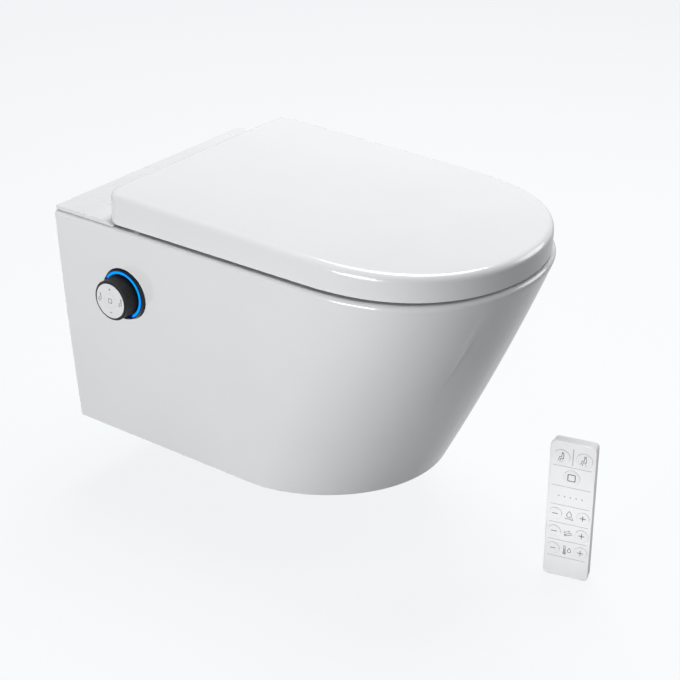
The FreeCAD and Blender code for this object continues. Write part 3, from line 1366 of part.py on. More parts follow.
def remote_button(across, down, radius):
    """Round dished cap with a flange that keeps it in the shell."""
    height = REMOTE_H - down
    front = -REMOTE_FRONT_T + FIELD_DEPTH - BUTTON_PROUD
    behind = -REMOTE_FRONT_T + REMOTE_WALL + 0.1
    cap = rod(V(across, front, height), Y_AXIS, radius, behind + FLANGE_T - front)
    flange = rod(V(across, behind, height), Y_AXIS, radius + BUTTON_FLANGE, FLANGE_T)
    ball = ((radius - DISH_EDGE) ** 2 + DISH_DEPTH ** 2) / (2 * DISH_DEPTH)
    dish = Part.makeSphere(ball, V(across, front - ball + DISH_DEPTH, height))
    return join([cap, flange]).cut(dish)


# ---- every piece, by name ---------------------------------------------------
def pieces():
    """Each sub-part's name and shape."""
    parts = {
        "ceramic_pan": ceramic_pan(),
        "fixing_sleeves": fixing_sleeves(),
        "flush_distributor": flush_distributor(),
        "deck_seal": deck_seal(),
        "deck_cover": deck_cover(),
        "rear_housing": rear_housing(),
        "hinge_pins": hinge_pins(),
        "seat_damper": damper(-1),
        "lid_damper": damper(1),
        "lid_shell": lid_shell(),
        "lid_buffers": lid_buffers(),
        "seat_base": seat_base(),
        "seat_top": seat_top(),
        "seat_heater": seat_heater(),
        "seat_buffers": seat_buffers(),
        "rear_wand": wand(-1),
        "front_wand": wand(1),
        "rear_wand_tip": wand_tip(-1),
        "front_wand_tip": wand_tip(1),
        "rear_pinion": pinion(-1),
        "front_pinion": pinion(1),
        "wand_motors": group([wand_motor(-1), wand_motor(1)]),
        "wand_cradle": wand_cradle(),
        "dryer_duct": dryer_duct(),
        "dryer_flap": dryer_flap(),
        "blower_housing": blower_housing(),
        "blower_impeller": blower_impeller(),
        "water_tray": bay_tray(1),
        "electronics_tray": bay_tray(-1),
        "water_heater": water_heater(),
        "water_pump": water_pump(),
        "inlet_valve": inlet_valve(),
        "water_inlet": water_inlet(),
        "water_filter": water_filter(),
        "power_supply": power_supply(),
        "control_board": control_board(),
        "carbon_filter": carbon_filter(),
        "cable_gland": cable_gland(),
        "night_light": night_light(),
        "knob_bezel": knob_bezel(),
        "light_ring": light_ring(),
        "knob_ring": knob_ring(),
        "knob_face": knob_face(),
        "knob_encoder": knob_encoder(),
        "remote_front": place_remote(remote_front()),
        "remote_back": place_remote(remote_back()),
        "remote_board": place_remote(remote_board()),
        "remote_leds": place_remote(remote_leds()),
        "remote_batteries": place_remote(remote_batteries()),
        "battery_door": place_remote(battery_door()),
    }
    for name, place in BUTTONS.items():
        parts[name] = place_remote(remote_button(*place))
    return parts


os.makedirs("parts", exist_ok=True)
for piece_name, piece in pieces().items():
    piece.exportStep("parts/" + piece_name + ".step")
    print(piece_name, len(piece.Solids), round(piece.Volume / 1000, 2), piece.isValid())
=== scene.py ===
import json
import math

import bpy
import numpy as np
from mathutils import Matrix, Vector


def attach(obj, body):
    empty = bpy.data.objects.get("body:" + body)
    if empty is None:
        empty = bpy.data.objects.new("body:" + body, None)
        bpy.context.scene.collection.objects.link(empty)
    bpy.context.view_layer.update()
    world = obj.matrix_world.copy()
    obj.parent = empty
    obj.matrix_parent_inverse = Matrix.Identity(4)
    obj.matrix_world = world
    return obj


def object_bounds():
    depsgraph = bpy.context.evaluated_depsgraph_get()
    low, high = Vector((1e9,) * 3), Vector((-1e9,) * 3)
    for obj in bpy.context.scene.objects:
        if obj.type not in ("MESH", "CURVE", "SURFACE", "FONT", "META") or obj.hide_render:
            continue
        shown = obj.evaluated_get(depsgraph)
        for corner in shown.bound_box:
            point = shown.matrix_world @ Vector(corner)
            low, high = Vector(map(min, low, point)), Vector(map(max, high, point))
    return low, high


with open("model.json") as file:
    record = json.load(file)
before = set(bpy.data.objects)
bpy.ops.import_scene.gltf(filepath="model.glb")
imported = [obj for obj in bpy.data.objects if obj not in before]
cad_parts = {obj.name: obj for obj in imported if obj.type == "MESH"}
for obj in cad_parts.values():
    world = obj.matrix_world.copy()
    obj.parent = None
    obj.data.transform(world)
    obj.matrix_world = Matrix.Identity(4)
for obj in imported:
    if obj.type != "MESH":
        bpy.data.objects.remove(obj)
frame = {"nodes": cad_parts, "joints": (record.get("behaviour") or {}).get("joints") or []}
cad_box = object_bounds()

MM = 0.001
TURN = 2 * math.pi

# ---- the camera and the room ------------------------------------------------------------

CAMERA_AT = (-1.6470, -1.5564, 0.9682)
CAMERA_YAW = math.radians(53.27)           # from +Y towards +X
CAMERA_PITCH = math.radians(26.92)         # below the horizon
CAMERA_LENS = 90.95                        # mm on a 36 mm sensor
FLOOR_SIZE = 14.0
PAPER = (0.905, 0.922, 0.947)              # the pale ground of the picture
FLOOR_GLOW = (0.968, 0.988, 1.0)           # the floor's own share of that ground
FLOOR_SHADE = 0.13                         # how much of the floor is lit, and so can be in shadow
FLOOR_BOUNCE = (0.20, 0.20, 0.21)          # its colour to everything but the camera
FLOOR_MIRROR = 0.6                         # how much of the floor's own colour reflections show
FILL_LIGHT = 0.085                         # strength of the room's light on matt surfaces

# name, place, size (m), power (W), share that lights matt surfaces: all aim at LAMP_AIM
LAMPS = (
    ("key_softbox", (-2.65, -0.3, 0.15), 1.5, 55.0, 1.0),
    ("top_softbox", (0.8, 0.0, 2.25), 1.8, 51.0, 1.0),
    ("edge_softbox", (1.7, -1.6, 0.8), 1.2, 12.0, 0.02),
)
LAMP_AIM = (0.0, -0.35, 0.0)
HANDSET_LAMP_AT = (-1.0, -1.5, 0.0)
HANDSET_LAMP = 32.0                        # W
HANDSET_CONE = math.radians(14)
HANDSET_CONE_EDGE = 0.6                    # share of the cone over which the light fades
HANDSET_LAMP_SIZE = 0.12                   # m

# ---- the printed marks, in mm -----------------------------------------------------------

INK_TOP = 0.05                             # how far the print stands proud
INK_FOOT = -0.04                           # and how far its foot is sunk
KEY_LINE = 0.95                            # line width of the plus and minus on the keys
FIGURE_LINE = 0.75                         # of the seated figures there
ROW_LINE = 0.75                            # of the icons between the keys
RULE_LINE = 0.7                            # of the lines between rows
DIVIDER_LINE = 1.1                         # of the upright between the two wash keys
RULE_HALF = 25.4                           # half the length of the lines between rows
RULE_HEIGHTS = (165.0, 135.6, 107.6, 80.6, 54.6, 29.4)      # above the handset's foot
DIVIDER = (168.5, 192.0)                   # from and to, above the foot
FIELD_RECESS = 0.3                         # depth of the handset's printed field
REAR_SPRAY, FRONT_SPRAY = -0.35, 0.5       # how far each step of the spray leans to the right
KNOB_SIGN_OFF = 16.4                       # plus and minus from the middle of the knob's face
KNOB_FIGURE_OFF = 18.0                     # and the seated figures
KNOB_FIGURE_LIFT = 0.6
KNOB_FIGURE_SIZE = 0.8                     # against those on the handset
KNOB_LINE = 0.9
FACE_RING = 10.2                           # radius of the faint ring on the knob's face
FACE_RING_LINE = 0.35

# ---- finishes ---------------------------------------------------------------------------
# colours: body and patch. patch: patches per metre. gloss: smoothest and dullest roughness. ripple: waves
# per metre and their height. coat: weight of a clear coat. Some have metal, shine (strength of the mirror)
# or clear (share of the light let through).

GLOSS_PATCH = 2.3                          # how much finer gloss varies than colour
COAT_ROUGHNESS = 0.04

FINISHES = {
    "glaze": dict(colours=((0.86, 0.865, 0.87), (0.835, 0.842, 0.85)), patch=5.0, gloss=(0.05, 0.10),
                  ripple=(22.0, 0.00022), coat=0.6),
    "moulded white": dict(colours=((0.865, 0.87, 0.875), (0.85, 0.855, 0.862)), patch=9.0,
                          gloss=(0.13, 0.19), ripple=(160.0, 0.00006), coat=0.35),
    "deck white": dict(colours=((0.84, 0.845, 0.85), (0.825, 0.83, 0.838)), patch=12.0,
                       gloss=(0.24, 0.32), ripple=(420.0, 0.00001), coat=0.1),
    "inner white": dict(colours=((0.80, 0.805, 0.81), (0.775, 0.78, 0.79)), patch=14.0,
                        gloss=(0.38, 0.48), ripple=(700.0, 0.00006), coat=0.0),
    "handset white": dict(colours=((0.83, 0.835, 0.84), (0.815, 0.82, 0.828)), patch=30.0,
                          gloss=(0.30, 0.38), ripple=(1500.0, 0.00003), coat=0.1),
    "button white": dict(colours=((0.85, 0.853, 0.858), (0.835, 0.84, 0.845)), patch=60.0,
                         gloss=(0.22, 0.30), ripple=(1200.0, 0.00002), coat=0.2),
    "face white": dict(colours=((0.85, 0.855, 0.86), (0.835, 0.84, 0.845)), patch=40.0,
                      gloss=(0.30, 0.40), ripple=(1800.0, 0.00003), coat=0.0, shine=0.3),
    "knob black": dict(colours=((0.020, 0.021, 0.024), (0.028, 0.029, 0.033)), patch=60.0,
                       gloss=(0.34, 0.46), ripple=(1400.0, 0.00005), coat=0.0, shine=0.25),
    "bezel black": dict(colours=((0.016, 0.018, 0.024), (0.024, 0.026, 0.033)), patch=40.0,
                        gloss=(0.22, 0.30), ripple=(1200.0, 0.00003), coat=0.0, shine=0.3),
    "seal rubber": dict(colours=((0.075, 0.076, 0.080), (0.055, 0.056, 0.060)), patch=60.0,
                        gloss=(0.55, 0.70), ripple=(900.0, 0.00008), coat=0.0),
    "buffer rubber": dict(colours=((0.50, 0.51, 0.52), (0.44, 0.45, 0.46)), patch=90.0,
                          gloss=(0.55, 0.68), ripple=(1100.0, 0.00006), coat=0.0),
    "brushed steel": dict(colours=((0.56, 0.57, 0.58), (0.47, 0.48, 0.49)), patch=240.0,
                          gloss=(0.22, 0.36), ripple=(900.0, 0.00003), coat=0.0, metal=1.0),
    "polished tip": dict(colours=((0.72, 0.73, 0.75), (0.66, 0.67, 0.69)), patch=90.0,
                         gloss=(0.08, 0.14), ripple=(500.0, 0.00002), coat=0.0, metal=1.0),
    "wand white": dict(colours=((0.82, 0.825, 0.83), (0.79, 0.795, 0.80)), patch=50.0,
                       gloss=(0.14, 0.20), ripple=(700.0, 0.00003), coat=0.2),
    "acetal": dict(colours=((0.80, 0.78, 0.72), (0.74, 0.72, 0.66)), patch=90.0,
                   gloss=(0.34, 0.44), ripple=(900.0, 0.00004), coat=0.0),
    "dark housing": dict(colours=((0.050, 0.051, 0.055), (0.068, 0.069, 0.073)), patch=30.0,
                         gloss=(0.48, 0.60), ripple=(1000.0, 0.00008), coat=0.0),
    "grey housing": dict(colours=((0.22, 0.23, 0.24), (0.19, 0.20, 0.21)), patch=26.0,
                         gloss=(0.42, 0.54), ripple=(900.0, 0.00008), coat=0.0),
    "painted can": dict(colours=((0.14, 0.145, 0.16), (0.11, 0.115, 0.125)), patch=50.0,
                        gloss=(0.32, 0.44), ripple=(600.0, 0.00005), coat=0.1, metal=0.4),
    "cast block": dict(colours=((0.60, 0.61, 0.62), (0.50, 0.51, 0.52)), patch=120.0,
                       gloss=(0.36, 0.52), ripple=(420.0, 0.00015), coat=0.0, metal=1.0),
    "turned brass": dict(colours=((0.68, 0.50, 0.22), (0.60, 0.43, 0.18)), patch=140.0,
                         gloss=(0.22, 0.34), ripple=(900.0, 0.00004), coat=0.0, metal=1.0),
    "solder resist": dict(colours=((0.022, 0.16, 0.070), (0.040, 0.24, 0.10)), patch=260.0,
                          gloss=(0.24, 0.36), ripple=(300.0, 0.00005), coat=0.2),
    "heating foil": dict(colours=((0.66, 0.50, 0.30), (0.30, 0.22, 0.14)), patch=150.0,
                         gloss=(0.22, 0.40), ripple=(160.0, 0.00010), coat=0.0, metal=0.8),
    "cell sleeve": dict(colours=((0.08, 0.16, 0.11), (0.11, 0.20, 0.14)), patch=120.0,
                        gloss=(0.20, 0.30), ripple=(300.0, 0.00003), coat=0.2),
    "icon ink": dict(colours=((0.085, 0.087, 0.092), (0.10, 0.102, 0.108)), patch=200.0,
                     gloss=(0.40, 0.50), ripple=(2500.0, 0.00001), coat=0.0),
    "pale ink": dict(colours=((0.40, 0.405, 0.41), (0.43, 0.435, 0.44)), patch=200.0,
                     gloss=(0.40, 0.50), ripple=(2500.0, 0.00001), coat=0.0),
    "knob ink": dict(colours=((0.20, 0.205, 0.215), (0.23, 0.235, 0.245)), patch=200.0,
                     gloss=(0.40, 0.50), ripple=(2500.0, 0.00001), coat=0.0),
    "faint ink": dict(colours=((0.60, 0.605, 0.61), (0.62, 0.625, 0.63)), patch=200.0,
                      gloss=(0.35, 0.45), ripple=(2500.0, 0.00001), coat=0.0),
    "frosted lens": dict(colours=((0.36, 0.37, 0.38), (0.44, 0.45, 0.46)), patch=900.0,
                         gloss=(0.35, 0.35), ripple=(2600.0, 0.00002), coat=0.0, clear=0.2),
}

# which finish each CAD piece has
PIECE_FINISH = {
    "glaze": ("ceramic_pan",),
    "moulded white": ("lid_shell", "seat_top", "rear_housing", "dryer_flap", "flush_distributor"),
    "deck white": ("deck_cover",),
    "inner white": ("seat_base", "wand_cradle"),
    "handset white": ("remote_front", "remote_back", "battery_door"),
    "button white": ("rear_wash_button", "front_wash_button", "stop_button",
                     "pressure_down_button", "pressure_up_button", "position_back_button",
                     "position_front_button", "cooler_button", "warmer_button"),
    "knob black": ("knob_ring",),
    "bezel black": ("knob_bezel",),
    "seal rubber": ("deck_seal",),
    "buffer rubber": ("lid_buffers", "seat_buffers"),
    "brushed steel": ("hinge_pins",),
    "polished tip": ("rear_wand_tip", "front_wand_tip"),
    "wand white": ("rear_wand", "front_wand"),
    "acetal": ("rear_pinion", "front_pinion"),
    "dark housing": ("seat_damper", "lid_damper", "dryer_duct", "blower_housing", "inlet_valve",
                     "carbon_filter", "cable_gland", "knob_encoder"),
    "grey housing": ("fixing_sleeves", "blower_impeller", "water_tray", "electronics_tray",
                     "water_filter"),
    "painted can": ("wand_motors", "water_pump", "power_supply"),
    "cast block": ("water_heater",),
    "turned brass": ("water_inlet",),
    "solder resist": ("control_board", "remote_board"),
    "heating foil": ("seat_heater",),
    "cell sleeve": ("remote_batteries",),
    "frosted lens": ("night_light", "remote_leds"),
}

LIGHT_BLUE = (0.0, 0.40, 1.0)
DEEP_BLUE = (0.0, 0.05, 0.85)
UNLIT_BLUE = (0.002, 0.004, 0.03)
DEEP_FROM, LIGHT_FROM = 0.05, 0.14         # shares of light where these two colours are reached
RING_MIDDLE = math.radians(43)             # where the lit part has its middle, up from the front
RING_FADE = (-0.25, 0.0)                   # cosines from that middle: where light ends, where it is full
RING_EDGE = 3.8 * MM                       # width of the lit ring
RING_SPILL = 0.15                          # how much of the light reaches the pieces around
BEAD_INNER = 23.9 * MM                     # the knob's face is white up to here and black beyond
BEAD_BLEND = 0.2 * MM


# ---- shader groups ----------------------------------------------------------------------

def shader_group(name, inputs, outputs):
    """An empty node group with the named sockets, and its two end nodes."""
    group = bpy.data.node_groups.new(name, "ShaderNodeTree")
    for label, kind, value in inputs:
        socket = group.interface.new_socket(label, in_out="INPUT", socket_type=kind)
        socket.default_value = value
    for label, kind in outputs:
        group.interface.new_socket(label, in_out="OUTPUT", socket_type=kind)
    return group, group.nodes.new("NodeGroupInput"), group.nodes.new("NodeGroupOutput")


def wire(tree, *pairs):
    """Links each (output socket, input socket) pair."""
    for source, target in pairs:
        tree.links.new(source, target)


def added(tree, kind, values=None, operation=None):
    """A new node, with what it does and its fixed inputs, by socket name or number."""
    node = tree.nodes.new("ShaderNode" + kind)
    if operation:
        node.operation = operation
    for socket, value in (values or {}).items():
        node.inputs[socket].default_value = value
    return node


# sockets of a colour mix: share, first and second colour, result
SHARE, FIRST, SECOND, RESULT = 0, 6, 7, 2


def colour_mix(tree, first=(1.0, 1.0, 1.0), second=(1.0, 1.0, 1.0)):
    """A node that mixes two colours."""
    mix = tree.nodes.new("ShaderNodeMix")
    mix.data_type = "RGBA"
    mix.inputs[FIRST].default_value = first + (1.0,)
    mix.inputs[SECOND].default_value = second + (1.0,)
    return mix


def noise_in(group, start, detail):
    """Noise on the piece's own coordinates, at the group's Scale."""
    place = added(group, "TexCoord")
    noise = added(group, "TexNoise", {"Detail": detail})
    wire(group, (place.outputs["Object"], noise.inputs["Vector"]),
         (start.outputs["Scale"], noise.inputs["Scale"]))
    return noise


def colour_drift_group():
    """Two colours mixed by soft noise, as a batch of glaze or plastic varies."""
    colour, value, white = "NodeSocketColor", "NodeSocketFloat", (1, 1, 1, 1)
    group, start, end = shader_group(
        "Colour drift", (("Body", colour, white), ("Patch", colour, white), ("Scale", value, 5.0)),
        (("Colour", colour),))
    noise = noise_in(group, start, 3.0)
    spread = added(group, "MapRange", {"From Min": 0.35, "From Max": 0.65})
    mix = colour_mix(group)
    wire(group, (noise.outputs["Fac"], spread.inputs["Value"]), (spread.outputs["Result"], mix.inputs[SHARE]),
         (start.outputs["Body"], mix.inputs[FIRST]), (start.outputs["Patch"], mix.inputs[SECOND]),
         (mix.outputs[RESULT], end.inputs["Colour"]))
    return group


def gloss_drift_group():
    """Roughness between two values by noise, as wiping and handling leave it."""
    value = "NodeSocketFloat"
    group, start, end = shader_group(
        "Gloss drift", (("Smooth", value, 0.1), ("Dull", value, 0.2), ("Scale", value, 20.0)),
        (("Roughness", value),))
    noise = noise_in(group, start, 4.0)
    spread = added(group, "MapRange")
    wire(group, (noise.outputs["Fac"], spread.inputs["Value"]),
         (start.outputs["Smooth"], spread.inputs["To Min"]), (start.outputs["Dull"], spread.inputs["To Max"]),
         (spread.outputs["Result"], end.inputs["Roughness"]))
    return group


def ripple_group():
    """Small waves in the surface: glaze that has flowed, or the skin of a moulding."""
    value = "NodeSocketFloat"
    group, start, end = shader_group(
        "Surface ripple", (("Scale", value, 50.0), ("Height", value, 0.0001)),
        (("Normal", "NodeSocketVector"),))
    noise = noise_in(group, start, 2.0)
    bump = added(group, "Bump")
    wire(group, (noise.outputs["Fac"], bump.inputs["Height"]),
         (start.outputs["Height"], bump.inputs["Distance"]), (bump.outputs["Normal"], end.inputs["Normal"]))
    return group


DRIFT = colour_drift_group()
GLOSS = gloss_drift_group()
RIPPLE = ripple_group()


def placed(tree, group, **values):
    """One use of a shader group in a material, with its own values."""
    node = tree.nodes.new("ShaderNodeGroup")
    node.node_tree = group
    for label, value in values.items():
        node.inputs[label].default_value = value
    return node


def new_material(name):
    """A material with a Principled shader: (material, tree, shader)."""
    material = bpy.data.materials.new(name)
    material.use_nodes = True
    tree = material.node_tree
    return material, tree, tree.nodes["Principled BSDF"]


def finish_material(name, colours, patch, gloss, ripple, coat, metal=0.0, shine=0.5, clear=0.0):
    """A finish of FINISHES: colour, roughness and skin each drift a little over the piece."""
    material, tree, shader = new_material(name)
    body, tint = (tuple(c) + (1.0,) for c in colours)
    drift = placed(tree, DRIFT, Body=body, Patch=tint, Scale=patch)
    rough = placed(tree, GLOSS, Smooth=gloss[0], Dull=gloss[1], Scale=patch * GLOSS_PATCH)
    skin = placed(tree, RIPPLE, Scale=ripple[0], Height=ripple[1])
    wire(tree, (drift.outputs["Colour"], shader.inputs["Base Color"]),
         (rough.outputs["Roughness"], shader.inputs["Roughness"]),
         (skin.outputs["Normal"], shader.inputs["Normal"]))
    shader.inputs["Metallic"].default_value = metal
    shader.inputs["Coat Weight"].default_value = coat
    shader.inputs["Coat Roughness"].default_value = COAT_ROUGHNESS
    shader.inputs["Specular IOR Level"].default_value = shine
    shader.inputs["Transmission Weight"].default_value = clear
    return material


MATERIALS = {name: finish_material(name, **values) for name, values in FINISHES.items()}


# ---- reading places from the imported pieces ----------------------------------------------

def corners(node):
    """The vertices of a CAD piece as one array."""
    mesh = frame["nodes"][node].data
    flat = np.zeros(len(mesh.vertices) * 3)
    mesh.vertices.foreach_get("co", flat)
    return flat.reshape(-1, 3)


def reach(node, direction):
    """How far a piece reaches along a direction: (lowest, highest)."""
    along = corners(node) @ np.array(direction, float)
    return along.min(), along.max()


def middle_of(node):
    """The middle of a CAD piece's box."""
    points = corners(node)
    return (points.min(0) + points.max(0)) / 2


def joint_axis(name):
    """A joint's axis, as a unit array."""
    axis = next(j["axis"] for j in frame["joints"] if j["name"] == name)
    return np.array(axis, float) / np.linalg.norm(axis)


def joint_place(name):
    """A joint's point."""
    return np.array(next(j["pos_m"] for j in frame["joints"] if j["name"] == name), float)


class Face:
    """A flat face to print on: a point on it, its right, its up and the way it looks."""

    def __init__(self, centre, right, outward, proud):
        self.right = np.array(right, float)
        self.outward = np.array(outward, float)
        self.up = np.cross(self.outward, self.right)
        self.centre = np.array(centre, float)
        self.centre += self.outward * (proud - self.centre @ self.outward)

    def place(self, flat):
        """Local (right, up, out) in mm to the frame."""
        return self.centre + MM * (flat @ np.array((self.right, self.up, self.outward)))

    def moved(self, right, up):
        """The same face, with its centre moved in its own plane (mm)."""
        other = Face(self.centre, self.right, self.outward, self.centre @ self.outward)
        other.centre = self.centre + MM * (right * self.right + up * self.up)
        return other


# ---- printed marks: flat strokes along paths --------------------------------------------

def runs(*points):
    """A path of straight runs."""
    return np.array(points, float)


def arc(centre, radius, start, stop, count=24):
    """Points on a circle from one angle to another, in degrees."""
    angle = np.radians(np.linspace(start, stop, count))
    return np.stack((centre[0] + radius * np.cos(angle), centre[1] + radius * np.sin(angle)), 1)


def rounded_square(half, corner, count=6):
    """A square whose corners are arcs: the corner's centre plus the arc, corner by corner."""
    quarter = np.radians(np.linspace(0, 90, count))
    parts = []
    for turn in range(4):
        a = quarter + math.radians(90 * turn)
        middle = math.radians(90 * turn + 45)
        centre = (half - corner) * math.sqrt(2) * np.array((math.cos(middle), math.sin(middle)))
        parts.append(centre + corner * np.stack((np.cos(a), np.sin(a)), 1))
    return np.concatenate(parts)


def drop(width, height, count=36):
    """A water drop: a circle whose half-width shrinks as sin(angle) * sin(angle / 2) towards its tip."""
    t = np.linspace(0, TURN, count, endpoint=False)
    across = width / 2 * 1.3 * np.sin(t) * np.sin(t / 2) ** 1.2
    return np.stack((across, height / 2 * np.cos(t)), 1)


def sine_run(start, stop, level, height, waves, count=25):
    """A small wave: level plus height times the sine along the run."""
    x = np.linspace(start, stop, count)
    return np.stack((x, level + height * np.sin((x - start) / (stop - start) * TURN * waves)), 1)


def stroke(path, width, closed=False):
    """A line of ink. Each point is pushed half a width to both sides along the bisector of its two runs,
    further at a corner by one over the cosine of half its turn, at the print's top and at its foot."""
    back = np.roll(path, 1, 0) if closed else np.concatenate((path[:1] * 2 - path[1:2], path[:-1]))
    ahead = np.roll(path, -1, 0) if closed else np.concatenate((path[1:], path[-1:] * 2 - path[-2:-1]))
    first = (path - back) / np.linalg.norm(path - back, axis=1, keepdims=True)
    second = (ahead - path) / np.linalg.norm(ahead - path, axis=1, keepdims=True)
    mean = first + second
    mean /= np.linalg.norm(mean, axis=1, keepdims=True)
    side = np.stack((-mean[:, 1], mean[:, 0]), 1)
    stretch = 1 / np.maximum(np.sum(mean * first, 1), 0.5)
    offset = side * (stretch * width / 2)[:, None]
    ring = np.stack((path + offset, path - offset, path - offset, path + offset), 1)
    height = np.tile((INK_TOP, INK_TOP, INK_FOOT, INK_FOOT), (len(path), 1))[..., None]
    points = np.concatenate((ring, height), 2).reshape(-1, 3)
    count = len(path)
    rows = np.arange(count if closed else count - 1)
    nxt = (rows + 1) % count
    k = np.arange(4)
    j = (k + 1) % 4
    here, there = rows[:, None] * 4, nxt[:, None] * 4
    faces = np.stack((here + k, here + j, there + j, there + k), 2).reshape(-1, 4).tolist()
    if not closed:
        end = 4 * (count - 1)
        faces += [[3, 2, 1, 0], [end, end + 1, end + 2, end + 3]]
    return points, faces


def spot(centre, radius, count=20):
    """A filled dot: a ring of points at the top, another at the foot, and a lid on each."""
    ring = arc(centre, radius, 0, 360 - 360 / count, count)
    top = np.column_stack((ring, np.full(count, INK_TOP)))
    foot = np.column_stack((ring, np.full(count, INK_FOOT)))
    i = np.arange(count)
    j = (i + 1) % count
    walls = np.stack((i + count, j + count, j, i), 1).tolist()
    return np.concatenate((top, foot)), walls + [i.tolist(), (i[::-1] + count).tolist()]


def mesh_piece(name, points, faces, material, body):
    """A closed mesh at the origin, riding on a body."""
    mesh = bpy.data.meshes.new(name)
    mesh.from_pydata(points.tolist(), [], faces)
    mesh.materials.append(material)
    mesh.update()
    piece = bpy.data.objects.new(name, mesh)
    bpy.context.scene.collection.objects.link(piece)
    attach(piece, body)
    return piece


def printed(name, marks, face, ink, body):
    """Several strokes and dots on one face as one piece."""
    points, faces, base = [], [], 0
    for flat, loops in marks:
        points.append(face.place(flat))
        faces += [[base + i for i in loop] for loop in loops]
        base += len(flat)
    return mesh_piece(name, np.concatenate(points), faces, MATERIALS[ink], body)


# ---- the marks themselves ---------------------------------------------------------------

def scaled(marks, size):
    """Marks drawn larger or smaller in their own plane."""
    grow = np.array((size, size, 1.0))
    return [(flat * grow, loops) for flat, loops in marks]


def seated_figure(line, spray_lean):
    """A seated person in line, from the side: head, back and chest, thigh, two shins, and a spray below."""
    chest = runs((0.2, 0.4), (0.2, 4.2), (0.8, 5.0), (2.0, 5.0), (2.7, 4.2), (2.7, -1.9), (-0.9, -1.9),
                 (-2.1, -6.6))
    thigh = runs((0.2, 0.4), (-2.5, 0.2), (-4.1, -5.4))
    body = [stroke(arc((1.5, 7.2), 1.2, 0, 345), line, closed=True), stroke(chest, line), stroke(thigh, line)]
    step = np.arange(4)
    spray = np.stack((1.6 + spray_lean * step, -3.2 - 1.2 * step), 1)
    return body + [stroke(dash, line) for dash in (spray[:2], spray[2:])]


def plus_mark(arm, line):
    """A plus sign."""
    return [stroke(runs((-arm, 0), (arm, 0)), line), stroke(runs((0, -arm), (0, arm)), line)]


def minus_mark(arm, line):
    """A minus sign."""
    return [stroke(runs((-arm, 0), (arm, 0)), line)]


def lifted(marks, right, up):
    """Marks moved in their own plane."""
    shift = np.array((right, up, 0.0))
    return [(flat + shift, loops) for flat, loops in marks]


def pressure_mark(line):
    """A drop over a jet of water from a nozzle."""
    return ([stroke(drop(6.6, 9.0) + (0, 2.4), line, closed=True)]
            + [stroke(sine_run(-5.4, 2.0, -4.6, 0.45, 3), line * 0.8)]
            + [stroke(arc((4.0, -4.6), 1.5, 0, 345), line * 0.8, closed=True)])


def position_mark(line):
    """A wand seen from the side with an arrow each way above it."""
    lean = math.radians(20)
    turn = np.array(((math.cos(lean), math.sin(lean)), (-math.sin(lean), math.cos(lean))))
    wand = [runs((-5.2, -2.9), (5.2, -2.9)), runs((5.2, -0.6), (-5.2, -0.6), (-5.2, -2.9)),
            runs((-3.4, -0.6), (-3.4, -2.9))]
    arrows = [runs((-4.6, 2.4), (3.2, 2.4)), runs((-3.2, 3.6), (-4.6, 2.4), (-3.2, 1.2)),
              runs((1.8, 3.6), (3.2, 2.4), (1.8, 1.2))]
    return [stroke(path @ turn, line) for path in wand] + [stroke(path @ turn, line * 0.8) for path in arrows]


def warmth_mark(line):
    """A thermometer beside a drop."""
    bulb = np.concatenate((arc((-3.0, -4.6), 1.9, 122, 418, 20), arc((-3.0, 5.4), 1.0, 0, 180, 10)))
    return [stroke(bulb, line, closed=True), stroke(runs((-3.0, -4.4), (-3.0, 2.0)), line * 0.8),
            spot((-3.0, -4.6), 1.0), stroke(drop(4.6, 6.4) + (3.2, 0.6), line, closed=True)]


# ---- dressing the CAD pieces ------------------------------------------------------------

def dress(node, material):
    """Gives a CAD piece its material."""
    piece = frame["nodes"][node]
    if not piece.material_slots:
        piece.data.materials.append(material)
    for slot in piece.material_slots:
        slot.material = material


def dress_all():
    """Every CAD piece gets the finish that PIECE_FINISH names."""
    for finish, nodes in PIECE_FINISH.items():
        for node in nodes:
            dress(node, MATERIALS[finish])


def knob_axis_distance(tree):
    """The place about the knob's axis, and its distance from the axis: two sockets."""
    _, across, up = joint_place("knob_turn")
    place = added(tree, "TexCoord")
    shift = added(tree, "Mapping", {"Location": (0.0, -across, -up), "Scale": (0.0, 1.0, 1.0)})
    length = added(tree, "VectorMath", operation="LENGTH")
    wire(tree, (place.outputs["Object"], shift.inputs["Vector"]), (shift.outputs["Vector"], length.inputs[0]))
    return shift.outputs["Vector"], length.outputs["Value"]


def add_bead(material):
    """Black round the edge of the knob's white face, by distance from the axis."""
    tree = material.node_tree
    colour = tree.nodes["Principled BSDF"].inputs["Base Color"]
    white = colour.links[0].from_socket
    _, distance = knob_axis_distance(tree)
    edge = added(tree, "MapRange", {"From Min": BEAD_INNER, "From Max": BEAD_INNER + BEAD_BLEND})
    mix = colour_mix(tree, second=FINISHES["knob black"]["colours"][0])
    wire(tree, (distance, edge.inputs["Value"]), (edge.outputs["Result"], mix.inputs[SHARE]),
         (white, mix.inputs[FIRST]), (mix.outputs[RESULT], colour))
    return material


